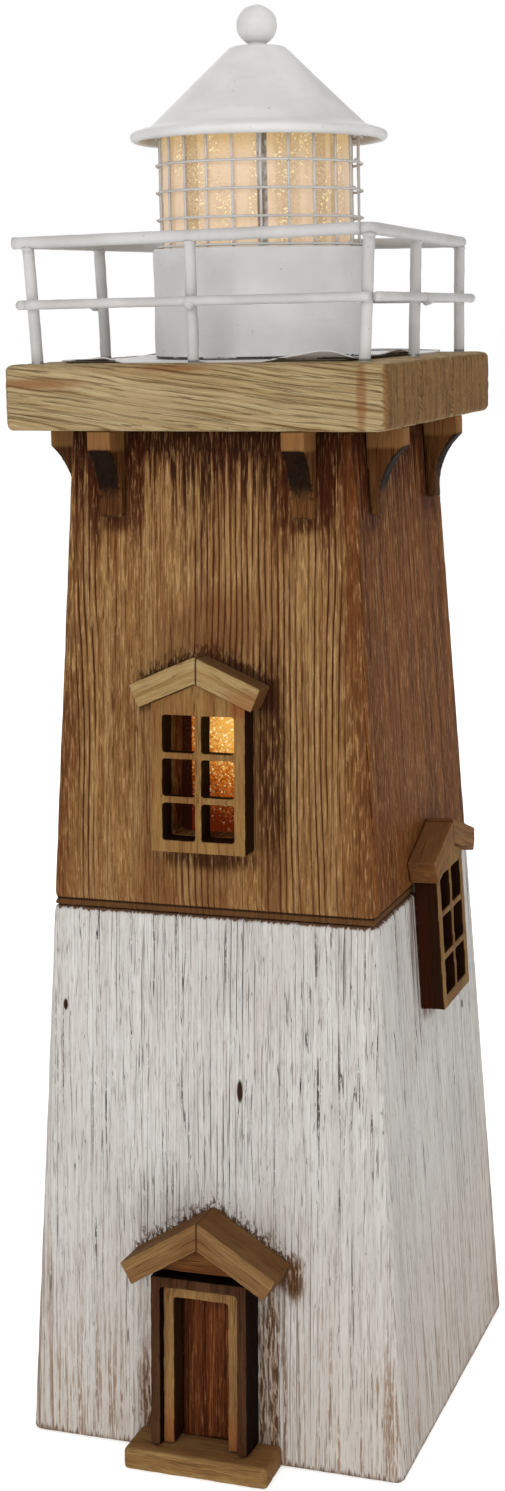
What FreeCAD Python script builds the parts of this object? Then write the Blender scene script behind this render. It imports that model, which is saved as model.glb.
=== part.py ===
import FreeCAD, Part
import math
import os

# Garden lighthouse ornament: a tapered wooden tower with a glued-on door and two
# windows, a plank platform on corbels, and a painted metal lantern inside a rod railing.
# +Z is up, +X is to the right along the front face and the front faces -Y.
# The origin is where the tower's axis meets the ground. All lengths are millimetres.

V = FreeCAD.Vector
UP = V(0, 0, 1)

# ---- fits shared by all the pieces
seat_gap = 0.3          # loose pieces lying in a rebate or beside a wall
run_gap = 0.4           # moving pieces beside fixed ones
pin_gap = 0.05          # radial clearance of pins, shanks and studs
weld_gap = 0.05         # room for the weld where one rod lies on another
cut_over = 1.0          # how far a cutting body runs past the solid it cuts

# ---- tower
tower_half_base = 90.0      # half the width of the foot
tower_half_top = 67.9       # half the width under the platform
tower_height = 465.0
board_thickness = 15.0
corner_round = 4.0
arris_round = 1.4
seam_height = 245.8         # top of the white boards
seam_band = 4.5             # height of the brown groove above them
seam_depth = 1.2
batten_width = 16.0
base_thickness = 9.0

# ---- platform
platform_inset = 0.2        # platform's sides inside the width of the tower's foot
platform_thickness = 30.0
plank_seams = (-35.0, 19.7)
platform_round = 3.0
lead_hole_radius = 4.0

# ---- corbels
corbel_width = 11.0
corbel_offset = 45.7        # from the middle of a face to the middle of a corbel
corbel_height = 39.5
corbel_block = 9.0          # straight nose at the top
corbel_reach = 18.0
corbel_foot = 4.6           # thickness of the foot
corbel_foot_height = 5.0

# ---- windows, measured on the sloping wall
window_width = 44.8
stile_width = 5.3
muntin_width = 3.2
sill_rail = 5.5
pane_height = 16.5
window_depth = 11.7
bar_depth = 6.0
gable_board = 11.2
gable_depth = 14.0
film_thickness = 1.0
film_margin = 4.0
pane_rows = 3

# ---- door
door_centre = -0.5
door_width = 46.0
door_height = 76.5
casing_width = 4.7
casing_depth = 16.0
frame_width = 5.3
frame_setback = 3.5
leaf_thickness = 3.0
door_gable_centre = 1.3
door_gable_half = 36.9
door_gable_rise = 25.9      # underside of the gable's ridge above the casing
door_gable_slope = 30.7
door_gable_board = 10.8
door_gable_depth = 22.0
tympanum_depth = 13.0
tympanum_gap = 2.0
step_left = -35.0
step_right = 33.5
step_height = 10.0
step_reach = 20.5
step_round = 2.0

# ---- deck plate and drum
deck_margin_x = 20.8        # deck plate inside the platform's sides
deck_margin_y = 17.8
deck_thickness = 0.8
lantern_x = 1.6             # the lantern stands a little off the tower's axis
lantern_y = 0.5
drum_radius = 51.1
drum_height = 50.8
drum_wall = 1.2
drum_flange = 12.0

# ---- railing
post_radius = 2.75
post_socket = 12.0          # depth of the post in the platform
top_rail_radius = 2.9
mid_rail_radius = 2.35
top_rail_rise = 55.2        # centre of the top rail above the platform
mid_rail_rise = 27.0
rod_round = 0.6             # rounding of a rod's ends as a share of its radius
rail_bend = 3.3
rail_stub = 1.0             # straight end of the right rail before its bend
rail_overhang = 3.4         # top rails beyond the back posts
front_rail_overhang = 7.3   # front top rail beyond the left post
mid_rail_start = 1.5        # middle rails beyond the post where they start
mid_rail_end = 3.2
# each post: the platform's sides that it stands at (0 for none), its foot's distance
# inside each side or from the middle, and how far its top leans, all in x and then y,
# and how much higher than usual the rails stand there
posts = {
    "front_left": (-1, -1, 11.8, 12.5, -1.5, -4.4, -0.8),
    "front_middle": (0, -1, -2.5, 12.5, 1.0, -4.4, 0.5),
    "front_right": (1, -1, 13.2, 12.5, 4.7, -4.4, 1.9),
    "right_middle": (1, 0, 12.5, -3.7, 2.1, -0.2, 0.6),
    "back_right": (1, 1, 12.5, 12.5, 0.9, -0.3, -0.8),
    "back_middle": (0, 1, 0.0, 12.5, 0.0, 2.7, -0.4),
    "back_left": (-1, 1, 12.5, 12.5, -2.5, 2.7, 0.0),
    "left_middle": (-1, 0, 12.5, -4.5, -2.5, 0.2, -0.4),
}

# ---- wire cage and glazing
cage_radius = 47.2
cage_wire = 1.25
cage_verticals = 23
cage_turn = 9.0             # degrees from X to an upright
cage_rings = 5
cage_pitch = 12.7
cage_ring_start = 1.0       # lowest ring above the drum's top
glass_shift = -1.4
glass_radius = 45.0
glass_wall = 2.0
glass_height = 56.0

# ---- roof and ball
brim_radius = 60.9
brim_bead = 2.5
brim_height = 52.5          # middle of the rolled edge above the drum's top
eave_radius = 50.5
eave_rise = 5.5             # foot of the cone above the middle of the rolled edge
cone_top_radius = 13.3
cone_rise = 36.4
roof_wall = 1.2
collar_radius = 41.0
collar_depth = 9.0
boss_radius = 6.0
boss_depth = 8.0
ball_radius = 9.7
ball_neck = 1.5
ball_neck_radius = 4.2
stud_radius = 2.5
stud_length = 12.0

# ---- lamp in the lantern
holder_radius = 40.0
holder_thickness = 2.0
holder_boss_radius = 13.0
holder_boss_height = 8.0
holder_boss_drop = 10.0
lamp_neck_radius = 8.0
lamp_radius = 13.0
lamp_neck_height = 5.0
lamp_socket = 5.0

# ---- lamp behind the front window
strip_width = 12.0
strip_height = 50.0
strip_thickness = 1.6
strip_bottom = 285.0
strip_x = 12.0
led_radius = 3.0
led_count = 3

# ---- battery case in the base
cell_radius = 7.05
cell_length = 49.5
cell_nub_radius = 2.6
cell_nub = 1.0
cell_count = 3
cell_pitch = 15.0
cell_play = 1.0             # the bay is this much wider than the cells
cell_rise = 0.6             # cells above the ledge of the lid
bay_length = 58.0
case_wall = 1.6
case_x = 35.0               # middle of the battery bay
case_recess = 1.0           # underside of the case above the ground
flange_half = 30.0
flange_front = 49.0         # front end of the flange before the middle of the bay
flange_back = 39.0
flange_thickness = 3.4
lid_thickness = 1.6
lid_margin = 2.0            # lid beyond the bay on each side
lid_pin_radius = 0.8
lid_pin_length = 2.0
grip_radius = 6.0
contact_thickness = 0.4
contact_height = 11.0
spring_radius = 3.0

# ---- slide switch in front of the battery bay, its knob moving along X
switch_front = 40.5         # middle of the switch before the middle of the bay
switch_width = 9.0
switch_length = 20.0
switch_height = 8.0
switch_wall = 1.4
knob_width = 3.0
knob_length = 4.0
knob_travel = 4.0
knob_foot_length = 6.0
knob_foot_width = 5.0
knob_foot_height = 1.4
knob_recess = 0.8           # lowest point of the knob above the ground

# ---- screws
screw_radius = 2.0
screw_head_radius = 4.0
screw_head_height = 2.4
screw_length = 45.0
small_screw_radius = 1.25
small_head_radius = 2.5
small_head_height = 1.3
small_screw_length = 7.0
flange_screw_inset = 3.5
drum_screw_count = 3

# ---- leads inside the tower
lead_radius = 1.2
lead_bend = 12.0
lantern_lead_x = 24.0
lead_hole_y = 6.5           # hole in the platform behind the lantern's axis
lead_start_y = 20.0
lead_straight = 25.0

# ---- sizes worked out from those above
door_gable_apex = door_height + door_gable_rise
platform_half = tower_half_base - platform_inset
platform_z = tower_height + platform_thickness
deck_z = platform_z + deck_thickness
drum_z = deck_z + drum_height
flange_z = case_recess + flange_thickness
ledge_z = case_recess + lid_thickness + run_gap
bay_width = cell_count * cell_pitch + cell_play
bay_top = ledge_z + 2 * (cell_radius + cell_rise)
case_top = bay_top + case_wall
lean = math.degrees(math.atan((tower_half_base - tower_half_top) / tower_height))


def half_at(z):
    """Half the outer width of the tower at height z."""
    return tower_half_base + (tower_half_top - tower_half_base) * z / tower_height


def inner_at(z):
    """Half the width inside the boards at height z."""
    return half_at(z) - board_thickness


def prismatoid(lower, upper):
    """Solid between two polygons with the same number of corners."""
    faces = [Part.Face(Part.makePolygon(lower[::-1] + lower[-1:]))]
    faces.append(Part.Face(Part.makePolygon(upper + upper[:1])))
    count = len(lower)
    for i in range(count):
        j = (i + 1) % count
        ring = [lower[i], lower[j], upper[j], upper[i], lower[i]]
        faces.append(Part.Face(Part.makePolygon(ring)))
    solid = Part.Solid(Part.Shell(faces))
    if solid.Volume < 0:
        solid = solid.reversed()
    return solid


def square(half, z):
    return [V(-half, -half, z), V(half, -half, z), V(half, half, z), V(-half, half, z)]


def frustum(half_low, half_high, z_low, z_high):
    return prismatoid(square(half_low, z_low), square(half_high, z_high))


def box(x0, x1, y0, y1, z0, z1):
    return Part.makeBox(x1 - x0, y1 - y0, z1 - z0, V(x0, y0, z0))


def extrude(points, direction):
    """Prism of a polygon."""
    return Part.Face(Part.makePolygon(points + points[:1])).extrude(direction)


def rounded_box(x0, x1, y0, y1, z0, z1, radius):
    solid = box(x0, x1, y0, y1, z0, z1)
    return solid.makeFillet(radius, solid.Edges)


def on_face(shape, face, along, z):
    """Sets a piece built against the plane y = 0 on the sloping wall of one face.

    Faces count anticlockwise from the front, seen from above.
    """
    placed = shape.copy()
    placed.rotate(V(0, 0, 0), V(1, 0, 0), -lean)
    placed.translate(V(along, -half_at(z), z))
    placed.rotate(V(0, 0, 0), UP, 90 * face)
    return placed


def turned(shape, face):
    placed = shape.copy()
    placed.rotate(V(0, 0, 0), UP, 90 * face)
    return placed


def cut_all(shape, pieces):
    for piece in pieces:
        shape = shape.cut(piece)
    return shape


FACES = ("front", "right", "back", "left")
nodes = {}


# ---------------------------------------------------------------- fasteners
def screw(radius, head_radius, head_height, length, clearance=0.0):
    """Countersunk screw, its head's face at z = 0 and its point down."""
    head = Part.makeCone(radius + clearance, head_radius + clearance, head_height, V(0, 0, -head_height))
    shank = Part.makeCylinder(radius + clearance, length + clearance, V(0, 0, -length - clearance))
    return head.fuse(shank).removeSplitter()


def wood_screw(clearance=0.0):
    return screw(screw_radius, screw_head_radius, screw_head_height, screw_length, clearance)


def small_screw(clearance=0.0):
    return screw(small_screw_radius, small_head_radius, small_head_height, small_screw_length, clearance)


def placed_screw(shape, x, y, z, upward=False):
    placed = shape.copy()
    if upward:
        placed.rotate(V(0, 0, 0), V(1, 0, 0), 180)
    placed.translate(V(x, y, z))
    return placed


def wood_screws(clearance=0.0):
    """Four screws up into the feet of the battens and four down into their tops."""
    low = inner_at(base_thickness) - batten_width / 2
    high = inner_at(tower_height) - batten_width / 2
    made = []
    for sx in (-1, 1):
        for sy in (-1, 1):
            made.append(placed_screw(wood_screw(clearance), sx * low, sy * low, 0, True))
            made.append(placed_screw(wood_screw(clearance), sx * high, sy * high, platform_z))
    return made


def drum_screw_places():
    radius = drum_radius - drum_wall - drum_flange / 2
    places = []
    for i in range(drum_screw_count):
        angle = math.radians(90 + 360 * i / drum_screw_count)
        places.append((lantern_x + radius * math.cos(angle), lantern_y + radius * math.sin(angle)))
    return places


def small_screws(clearance=0.0):
    """Four screws hold the battery case and three hold the drum."""
    made = []
    side = flange_half - flange_screw_inset
    for x in (case_x - side, case_x + side):
        for y in (flange_screw_inset - flange_front, flange_back - flange_screw_inset):
            made.append(placed_screw(small_screw(clearance), x, y, case_recess, True))
    for x, y in drum_screw_places():
        made.append(placed_screw(small_screw(clearance), x, y, deck_z + drum_wall))
    return made


# ---------------------------------------------------------------- tower
def rounded_frustum(z_low, z_high):
    """Outside of the tower between two heights, with worn corners and ends."""
    solid = frustum(half_at(z_low), half_at(z_high), z_low, z_high)
    tall = (z_high - z_low) / 2
    corners = [e for e in solid.Edges if e.BoundBox.ZLength > tall]
    solid = solid.makeFillet(corner_round, corners)
    ends = [e for e in solid.Edges if e.BoundBox.ZLength < arris_round / 100]
    return solid.makeFillet(arris_round, ends)


def tower_inside(z_low, z_high):
    return frustum(inner_at(z_low), inner_at(z_high), z_low, z_high)


def lower_shell():
    return rounded_frustum(0, seam_height).cut(tower_inside(0, seam_height))


def upper_shell():
    band_top = seam_height + seam_band
    outside = rounded_frustum(band_top, tower_height)
    low = half_at(seam_height) - seam_depth
    high = half_at(band_top + arris_round) - seam_depth
    tongue = frustum(low, high, seam_height, band_top + arris_round)
    return outside.fuse(tongue).removeSplitter().cut(tower_inside(seam_height, tower_height))


def face_wedge(face):
    """The quarter of the plan that belongs to one face, cut at the mitres."""
    reach = tower_half_base + board_thickness
    points = [V(0, 0, 0), V(-reach, -reach, 0), V(reach, -reach, 0)]
    return turned(extrude(points, V(0, 0, tower_height)), face)


def pane_top():
    return sill_rail + pane_rows * pane_height + (pane_rows - 1) * muntin_width


def window_hole(window):
    """Opening in the wall behind the panes of one window."""
    half = window_width / 2 - stile_width
    depth = board_thickness / math.cos(math.radians(lean)) + cut_over
    hole = box(-half, half, -cut_over, depth, sill_rail, pane_top())
    return on_face(hole, window["face"], window["centre"], window["sill"])


def make_boards():
    lower = lower_shell()
    upper = upper_shell()
    for face, name in enumerate(FACES):
        wedge = face_wedge(face)
        low_board = lower.common(wedge)
        high_board = upper.common(wedge)
        for window in windows.values():
            if window["face"] == face:
                low_board = low_board.cut(window_hole(window))
                high_board = high_board.cut(window_hole(window))
        nodes["lower_board_" + name] = low_board
        nodes["upper_board_" + name] = high_board


def batten(sx, sy):
    def corner(z):
        outer = inner_at(z)
        inner = outer - batten_width
        return [V(sx * inner, sy * inner, z), V(sx * outer, sy * inner, z),
                V(sx * outer, sy * outer, z), V(sx * inner, sy * outer, z)]
    return prismatoid(corner(base_thickness), corner(tower_height))


def make_battens():
    solids = []
    for sx in (-1, 1):
        for sy in (-1, 1):
            solids.append(cut_all(batten(sx, sy), wood_screws(pin_gap)))
    nodes["corner_battens"] = Part.makeCompound(solids)


def make_base():
    low = inner_at(0) - seat_gap
    high = inner_at(base_thickness) - seat_gap
    board = frustum(low, high, 0, base_thickness)
    rebate = flange_box(seat_gap, 0, flange_z)
    shell = bay_box(case_wall + seat_gap, 0, base_thickness)
    switch = switch_box(switch_length / 2 + seat_gap, switch_width / 2 + seat_gap, 0, base_thickness)
    screws = wood_screws(pin_gap) + small_screws(pin_gap)
    nodes["base_board"] = cut_all(board, [rebate, shell, switch] + screws)


# ---------------------------------------------------------------- platform and corbels
def post_place(side, distance):
    """Place inside one side of the platform, or at a distance from its middle."""
    return side * (platform_half - distance) if side else distance


def post_line(name):
    """Foot and top of a post's centre line."""
    side_x, side_y, foot_x, foot_y, lean_x, lean_y, higher = posts[name]
    foot = V(post_place(side_x, foot_x), post_place(side_y, foot_y), platform_z)
    return foot, foot + V(lean_x, lean_y, top_rail_rise + higher - top_rail_radius - seat_gap)


def rail_corner(name):
    """Centre of the top rails over a post."""
    return post_line(name)[1] + V(0, 0, top_rail_radius + seat_gap)


def post_middle(name):
    """Centre of a post where the middle rails meet it."""
    foot, top = post_line(name)
    return foot + (top - foot) * (mid_rail_rise / (top_rail_rise - top_rail_radius - seat_gap))


def post(name, radius, depth):
    foot, top = post_line(name)
    along = (top - foot).normalize()
    start = foot - along * depth
    return Part.makeCylinder(radius, (top - start).Length, start, along)


def lead_hole():
    length = platform_thickness + deck_thickness + 2 * cut_over
    return Part.makeCylinder(lead_hole_radius, length, lead_top(tower_height - cut_over))


def make_platform():
    edges = (-platform_half,) + plank_seams + (platform_half,)
    cuts = [post(name, post_radius + pin_gap, post_socket + pin_gap) for name in posts]
    cuts += wood_screws(pin_gap) + small_screws(pin_gap) + [lead_hole()]
    for name, y0, y1 in zip(("front", "middle", "back"), edges, edges[1:]):
        plank = rounded_box(-platform_half, platform_half, y0, y1, tower_height, platform_z, platform_round)
        nodes["platform_plank_" + name] = cut_all(plank, cuts)


def corbel():
    """Bracket for the front face: straight nose, hollow scoop and a short foot."""
    bottom = tower_height - corbel_height
    nose = half_at(tower_height) + corbel_reach
    foot_top = bottom + corbel_foot_height
    nose_low = tower_height - corbel_block
    foot = half_at(foot_top) + corbel_foot
    span = nose - foot
    rise = nose_low - foot_top
    radius = (span * span + rise * rise) / (2 * span)
    centre_y = foot + radius
    half_turn = math.asin(rise / radius) / 2
    middle = V(0, -(centre_y - radius * math.cos(half_turn)), foot_top + radius * math.sin(half_turn))
    start = V(0, -nose, nose_low)
    end = V(0, -foot, foot_top)
    points = [end, V(0, -half_at(bottom) - corbel_foot, bottom), V(0, -half_at(bottom), bottom),
              V(0, -half_at(tower_height), tower_height), V(0, -nose, tower_height), start]
    edges = [Part.makeLine(a, b) for a, b in zip(points, points[1:])]
    edges.append(Part.Arc(start, middle, end).toShape())
    profile = Part.Face(Part.Wire(edges))
    profile.translate(V(-corbel_width / 2, 0, 0))
    return profile.extrude(V(corbel_width, 0, 0))


def make_corbels():
    for face, name in enumerate(FACES):
        for side, along in (("left", -corbel_offset), ("right", corbel_offset)):
            piece = corbel()
            piece.translate(V(along, 0, 0))
            nodes["corbel_%s_%s" % (name, side)] = turned(piece, face)


# ---------------------------------------------------------------- windows
# each window: its face, the middle of its frame along the face, the height of its sill,
# then its gable's ridge beside the frame's middle, the ridge's underside above the sill,
# the slope in degrees and the half span
windows = {
    "front": {"face": 0, "centre": -1.15, "sill": 276.5,
              "ridge": -1.05, "apex": 75.8, "slope": 23.0, "half": 31.4},
    "right": {"face": 1, "centre": 2.65, "sill": 191.3,
              "ridge": 4.6, "apex": 72.2, "slope": 20.0, "half": 35.5},
}


def gable_underside(window, along):
    return window["apex"] - abs(along - window["ridge"]) * math.tan(math.radians(window["slope"]))


def window_frame(window):
    """Frame sawn from one board, its bars about half as deep as its rim."""
    half = window_width / 2
    outline = [V(-half, 0, 0), V(half, 0, 0), V(half, 0, gable_underside(window, half)),
               V(window["ridge"], 0, window["apex"]), V(-half, 0, gable_underside(window, -half))]
    frame = extrude(outline, V(0, -window_depth, 0))
    inner = half - stile_width
    for left, right in ((-inner, -muntin_width / 2), (muntin_width / 2, inner)):
        for row in range(pane_rows):
            z = sill_rail + row * (pane_height + muntin_width)
            frame = frame.cut(box(left, right, -window_depth - cut_over, cut_over, z, z + pane_height))
        hollow = box(left, right, bar_depth - window_depth, cut_over, sill_rail, pane_top())
        frame = frame.cut(hollow)
    return frame


def gable_boards(ridge, apex, slope, half, height, depth):
    """Two boards mitred at the ridge, their ends cut square."""
    angle = math.radians(slope)
    solids = []
    for side in (-1, 1):
        down = V(side * math.cos(angle), 0, -math.sin(angle))
        across = V(side * math.sin(angle), 0, math.cos(angle))
        under = V(ridge, 0, apex)
        over = under + V(0, 0, height / math.cos(angle))
        end_over = over + down * (half / math.cos(angle))
        points = [under, over, end_over, end_over - across * height]
        solids.append(extrude(points, V(0, -depth, 0)))
    return Part.makeCompound(solids)


def window_film(window):
    """Glitter film glued over the opening on the inside of the wall."""
    half = window_width / 2 - stile_width + film_margin
    inside = board_thickness * math.cos(math.radians(lean))
    low = sill_rail - film_margin
    high = pane_top() + film_margin
    return box(-half, half, inside, inside + film_thickness, low, high)


def make_windows():
    for name, window in windows.items():
        gable = gable_boards(window["ridge"], window["apex"], window["slope"], window["half"],
                             gable_board, gable_depth)
        made = {"frame": window_frame(window), "gable": gable, "film": window_film(window)}
        for part, shape in made.items():
            placed = on_face(shape, window["face"], window["centre"], window["sill"])
            nodes["%s_window_%s" % (name, part)] = placed


# ---------------------------------------------------------------- door
def door_ring(half, height, width, depth):
    """Three-sided frame that stands on the step."""
    outer = box(-half, half, -depth, 0, 0, height)
    return outer.cut(box(width - half, half - width, -depth - cut_over, cut_over, -cut_over, height - width))


def tympanum():
    """Triangular board between the casing's head and the gable."""
    bottom = door_height + tympanum_gap
    apex = door_gable_apex - step_height
    ridge = door_gable_centre - door_centre
    half = (apex - bottom) / math.tan(math.radians(door_gable_slope))
    points = [V(ridge - half, 0, bottom), V(ridge + half, 0, bottom), V(ridge, 0, apex)]
    return extrude(points, V(0, -tympanum_depth, 0))


def doorstep():
    """Sawn step on the ground, its back cut to the slope of the wall."""
    y0 = -half_at(0) - step_reach
    slab = rounded_box(step_left, step_right, y0, 0, 0, step_height, step_round)
    return slab.cut(frustum(half_at(0), half_at(step_height), 0, step_height))


def make_door():
    half = door_width / 2
    inner_half = half - casing_width
    inner_height = door_height - casing_width
    leaf_half = inner_half - frame_width - seat_gap
    leaf_height = inner_height - frame_width - seat_gap
    made = {
        "door_casing": door_ring(half, door_height, casing_width, casing_depth),
        "door_frame": door_ring(inner_half, inner_height, frame_width, casing_depth - frame_setback),
        "door_leaf": box(-leaf_half, leaf_half, -leaf_thickness, 0, seat_gap, leaf_height),
        "door_tympanum": tympanum(),
        "door_gable": gable_boards(door_gable_centre - door_centre, door_gable_apex - step_height,
                                   door_gable_slope, door_gable_half, door_gable_board, door_gable_depth),
    }
    # the wall leans, so the foot of a frame set square to it dips below the step's top
    above_step = box(-tower_half_base, tower_half_base, -2 * tower_half_base, 0, step_height, tower_height)
    for name, shape in made.items():
        nodes[name] = on_face(shape, 0, door_centre, step_height).common(above_step)
    nodes["doorstep"] = doorstep()


# ---------------------------------------------------------------- deck plate and drum
def make_deck():
    half_x = platform_half - deck_margin_x
    half_y = platform_half - deck_margin_y
    plate = box(-half_x, half_x, -half_y, half_y, platform_z, deck_z)
    nodes["deck_plate"] = cut_all(plate, small_screws(pin_gap) + [lead_hole()])


def revolved(points):
    """Solid of revolution about the lantern's axis from (radius, height) points."""
    corners = [V(r, 0, z) for r, z in points]
    face = Part.Face(Part.makePolygon(corners + corners[:1]))
    solid = face.revolve(V(0, 0, 0), UP, 360)
    solid.translate(V(lantern_x, lantern_y, 0))
    return solid


def make_drum():
    inner = drum_radius - drum_wall
    lip = inner - drum_flange
    drum = revolved([(lip, deck_z), (drum_radius, deck_z), (drum_radius, drum_z), (lip, drum_z),
                     (lip, drum_z - drum_wall), (inner, drum_z - drum_wall),
                     (inner, deck_z + drum_wall), (lip, deck_z + drum_wall)])
    nodes["drum"] = cut_all(drum, small_screws(pin_gap))


# ---------------------------------------------------------------- railing
def rod(radius, start, end):
    """Straight rod with rounded ends."""
    bar = Part.makeCylinder(radius, (end - start).Length, start, end - start)
    return bar.makeFillet(radius * rod_round, [e for e in bar.Edges if len(e.Vertexes) == 1])


def bent_rod(radius, points, bend):
    """Rod along straight runs that are joined by arcs of one radius."""
    path = []
    last = points[0]
    for before, here, after in zip(points, points[1:], points[2:]):
        back = (before - here).normalize()
        ahead = (after - here).normalize()
        half_turn = (math.pi - back.getAngle(ahead)) / 2
        reach = bend * math.tan(half_turn)
        enter = here + back * reach
        leave = here + ahead * reach
        inward = (back + ahead).normalize()
        middle = here + inward * (bend / math.cos(half_turn) - bend)
        path.append(Part.makeLine(last, enter))
        path.append(Part.Arc(enter, middle, leave).toShape())
        last = leave
    path.append(Part.makeLine(last, points[-1]))
    start_direction = points[1] - points[0]
    section = Part.Wire([Part.makeCircle(radius, points[0], start_direction)])
    return Part.Wire(path).makePipeShell([section], True, False)


def make_posts():
    solids = [post(name, post_radius, post_socket) for name in posts]
    nodes["railing_posts"] = Part.makeCompound(solids)


def make_top_rails():
    """The front and right rails meet at a butt joint near the corner, where the right one bends."""
    radius = top_rail_radius
    butt = radius + 2 * weld_gap
    corners = {name: rail_corner(name) for name in posts}
    bend = corners["front_right"] + V(rail_stub, 0, 0)
    joint = bend - V(rail_bend + rail_stub, 0, 0)
    far = corners["back_right"] + V(0, rail_overhang, 0)
    nodes["top_rail_front"] = rod(radius, corners["front_left"] - V(front_rail_overhang, 0, 0),
                                  joint - V(seat_gap, 0, 0))
    nodes["top_rail_right"] = bent_rod(radius, [joint, bend, far], rail_bend)
    nodes["top_rail_back"] = rod(radius, corners["back_right"] - V(butt, 0, 0),
                                 corners["back_left"] - V(rail_overhang, 0, 0))
    nodes["top_rail_left"] = rod(radius, corners["front_left"] + V(0, butt, 0),
                                 corners["back_left"] - V(0, butt, 0))


def make_mid_rails():
    """Each side's middle rail is welded outside its posts, in two lengths that meet at the middle post."""
    offset = post_radius + mid_rail_radius + weld_gap
    outward = {"front": V(0, -offset, 0), "right": V(offset, 0, 0),
               "back": V(0, offset, 0), "left": V(-offset, 0, 0)}
    corners = ("front_left", "front_right", "back_right", "back_left")
    for face, name in enumerate(FACES):
        first = post_middle(corners[face]) + outward[name]
        last = post_middle(corners[(face + 1) % 4]) + outward[name]
        middle = post_middle(name + "_middle") + outward[name]
        start = first - (middle - first).normalize() * mid_rail_start
        end = last + (last - middle).normalize() * mid_rail_end
        halves = [rod(mid_rail_radius, start, middle), rod(mid_rail_radius, middle, end)]
        nodes["mid_rail_" + name] = Part.makeCompound(halves)


# ---------------------------------------------------------------- wire cage and glazing
def cage_top():
    """Just under the inside of the roof at the cage's outer side."""
    outer = cage_radius + cage_wire / 2
    return roof_inside(outer) - seat_gap


def make_cage():
    """Welded mesh rolled into a cylinder, its rings outside its uprights."""
    centre = V(lantern_x, lantern_y, 0)
    solids = []
    for i in range(cage_verticals):
        angle = math.radians(cage_turn) + 2 * math.pi * i / cage_verticals
        foot = centre + V(cage_radius * math.cos(angle), cage_radius * math.sin(angle), drum_z)
        solids.append(Part.makeCylinder(cage_wire / 2, cage_top() - drum_z, foot))
    ring_radius = cage_radius + cage_wire + weld_gap
    for i in range(cage_rings):
        z = drum_z + cage_ring_start + i * cage_pitch
        solids.append(Part.makeTorus(ring_radius, cage_wire / 2, centre + V(0, 0, z)))
    nodes["wire_cage"] = Part.makeCompound(solids)


def make_glass():
    inner = glass_radius - glass_wall
    top = drum_z + glass_height
    glass = revolved([(inner, drum_z), (glass_radius, drum_z), (glass_radius, top), (inner, top)])
    glass.translate(V(glass_shift, 0, 0))
    nodes["lantern_glass"] = glass


# ---------------------------------------------------------------- roof
def roof_slope():
    return cone_rise / (eave_radius - cone_top_radius)


def roof_outside(radius):
    """Height of the cone's outer side at a radius."""
    return drum_z + brim_height + eave_rise + (eave_radius - radius) * roof_slope()


def roof_inside(radius):
    return roof_outside(radius) - roof_wall * math.sqrt(1 + roof_slope() ** 2)


def make_roof():
    bead_z = drum_z + brim_height
    bead_radius = brim_radius - brim_bead
    eave_z = bead_z + eave_rise
    top = eave_z + cone_rise
    inner_eave_z = eave_z - roof_wall
    inner_eave_radius = eave_radius - (inner_eave_z - roof_inside(eave_radius)) / roof_slope()
    inner_top_radius = cone_top_radius - (top - roof_wall - roof_inside(cone_top_radius)) / roof_slope()
    bore = stud_radius + pin_gap
    shell = revolved([(bead_radius, bead_z + brim_bead), (eave_radius, eave_z), (cone_top_radius, top),
                      (bore, top), (bore, top - boss_depth), (boss_radius, top - boss_depth),
                      (boss_radius, top - roof_wall), (inner_top_radius, top - roof_wall),
                      (inner_eave_radius, inner_eave_z), (bead_radius, bead_z + brim_bead - roof_wall)])
    bead = Part.makeTorus(bead_radius, brim_bead, V(lantern_x, lantern_y, bead_z))
    middle = roof_wall / 2
    collar = revolved([(collar_radius - roof_wall, bead_z + eave_rise - collar_depth),
                       (collar_radius, bead_z + eave_rise - collar_depth),
                       (collar_radius, roof_inside(collar_radius) + middle),
                       (collar_radius - roof_wall, roof_inside(collar_radius - roof_wall) + middle)])
    nodes["roof"] = shell.fuse([bead, collar])
    ball_z = top + ball_neck + math.sqrt(ball_radius ** 2 - ball_neck_radius ** 2)
    axis = V(lantern_x, lantern_y, 0)
    ball = Part.makeSphere(ball_radius, axis + V(0, 0, ball_z))
    neck = Part.makeCylinder(ball_neck_radius, ball_z - top, axis + V(0, 0, top))
    stud = Part.makeCylinder(stud_radius, stud_length + ball_neck, axis + V(0, 0, top - stud_length))
    nodes["finial_ball"] = ball.fuse([neck, stud])


# ---------------------------------------------------------------- lamps
def make_lantern_lamp():
    base = drum_z + holder_thickness
    boss_top = base + holder_boss_height
    low = drum_z - holder_boss_drop
    neck_z = boss_top - lamp_socket
    socket = lamp_neck_radius + pin_gap
    nodes["lamp_holder"] = revolved([(0, low), (holder_boss_radius, low), (holder_boss_radius, drum_z),
                                     (holder_radius, drum_z), (holder_radius, base),
                                     (holder_boss_radius, base), (holder_boss_radius, boss_top),
                                     (socket, boss_top), (socket, neck_z), (0, neck_z)])
    bulb_z = boss_top + lamp_neck_height + math.sqrt(lamp_radius ** 2 - lamp_neck_radius ** 2)
    axis = V(lantern_x, lantern_y, 0)
    neck = Part.makeCylinder(lamp_neck_radius, bulb_z - neck_z, axis + V(0, 0, neck_z))
    bulb = Part.makeSphere(lamp_radius, axis + V(0, 0, bulb_z))
    nodes["lantern_lamp"] = neck.fuse(bulb)


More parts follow.
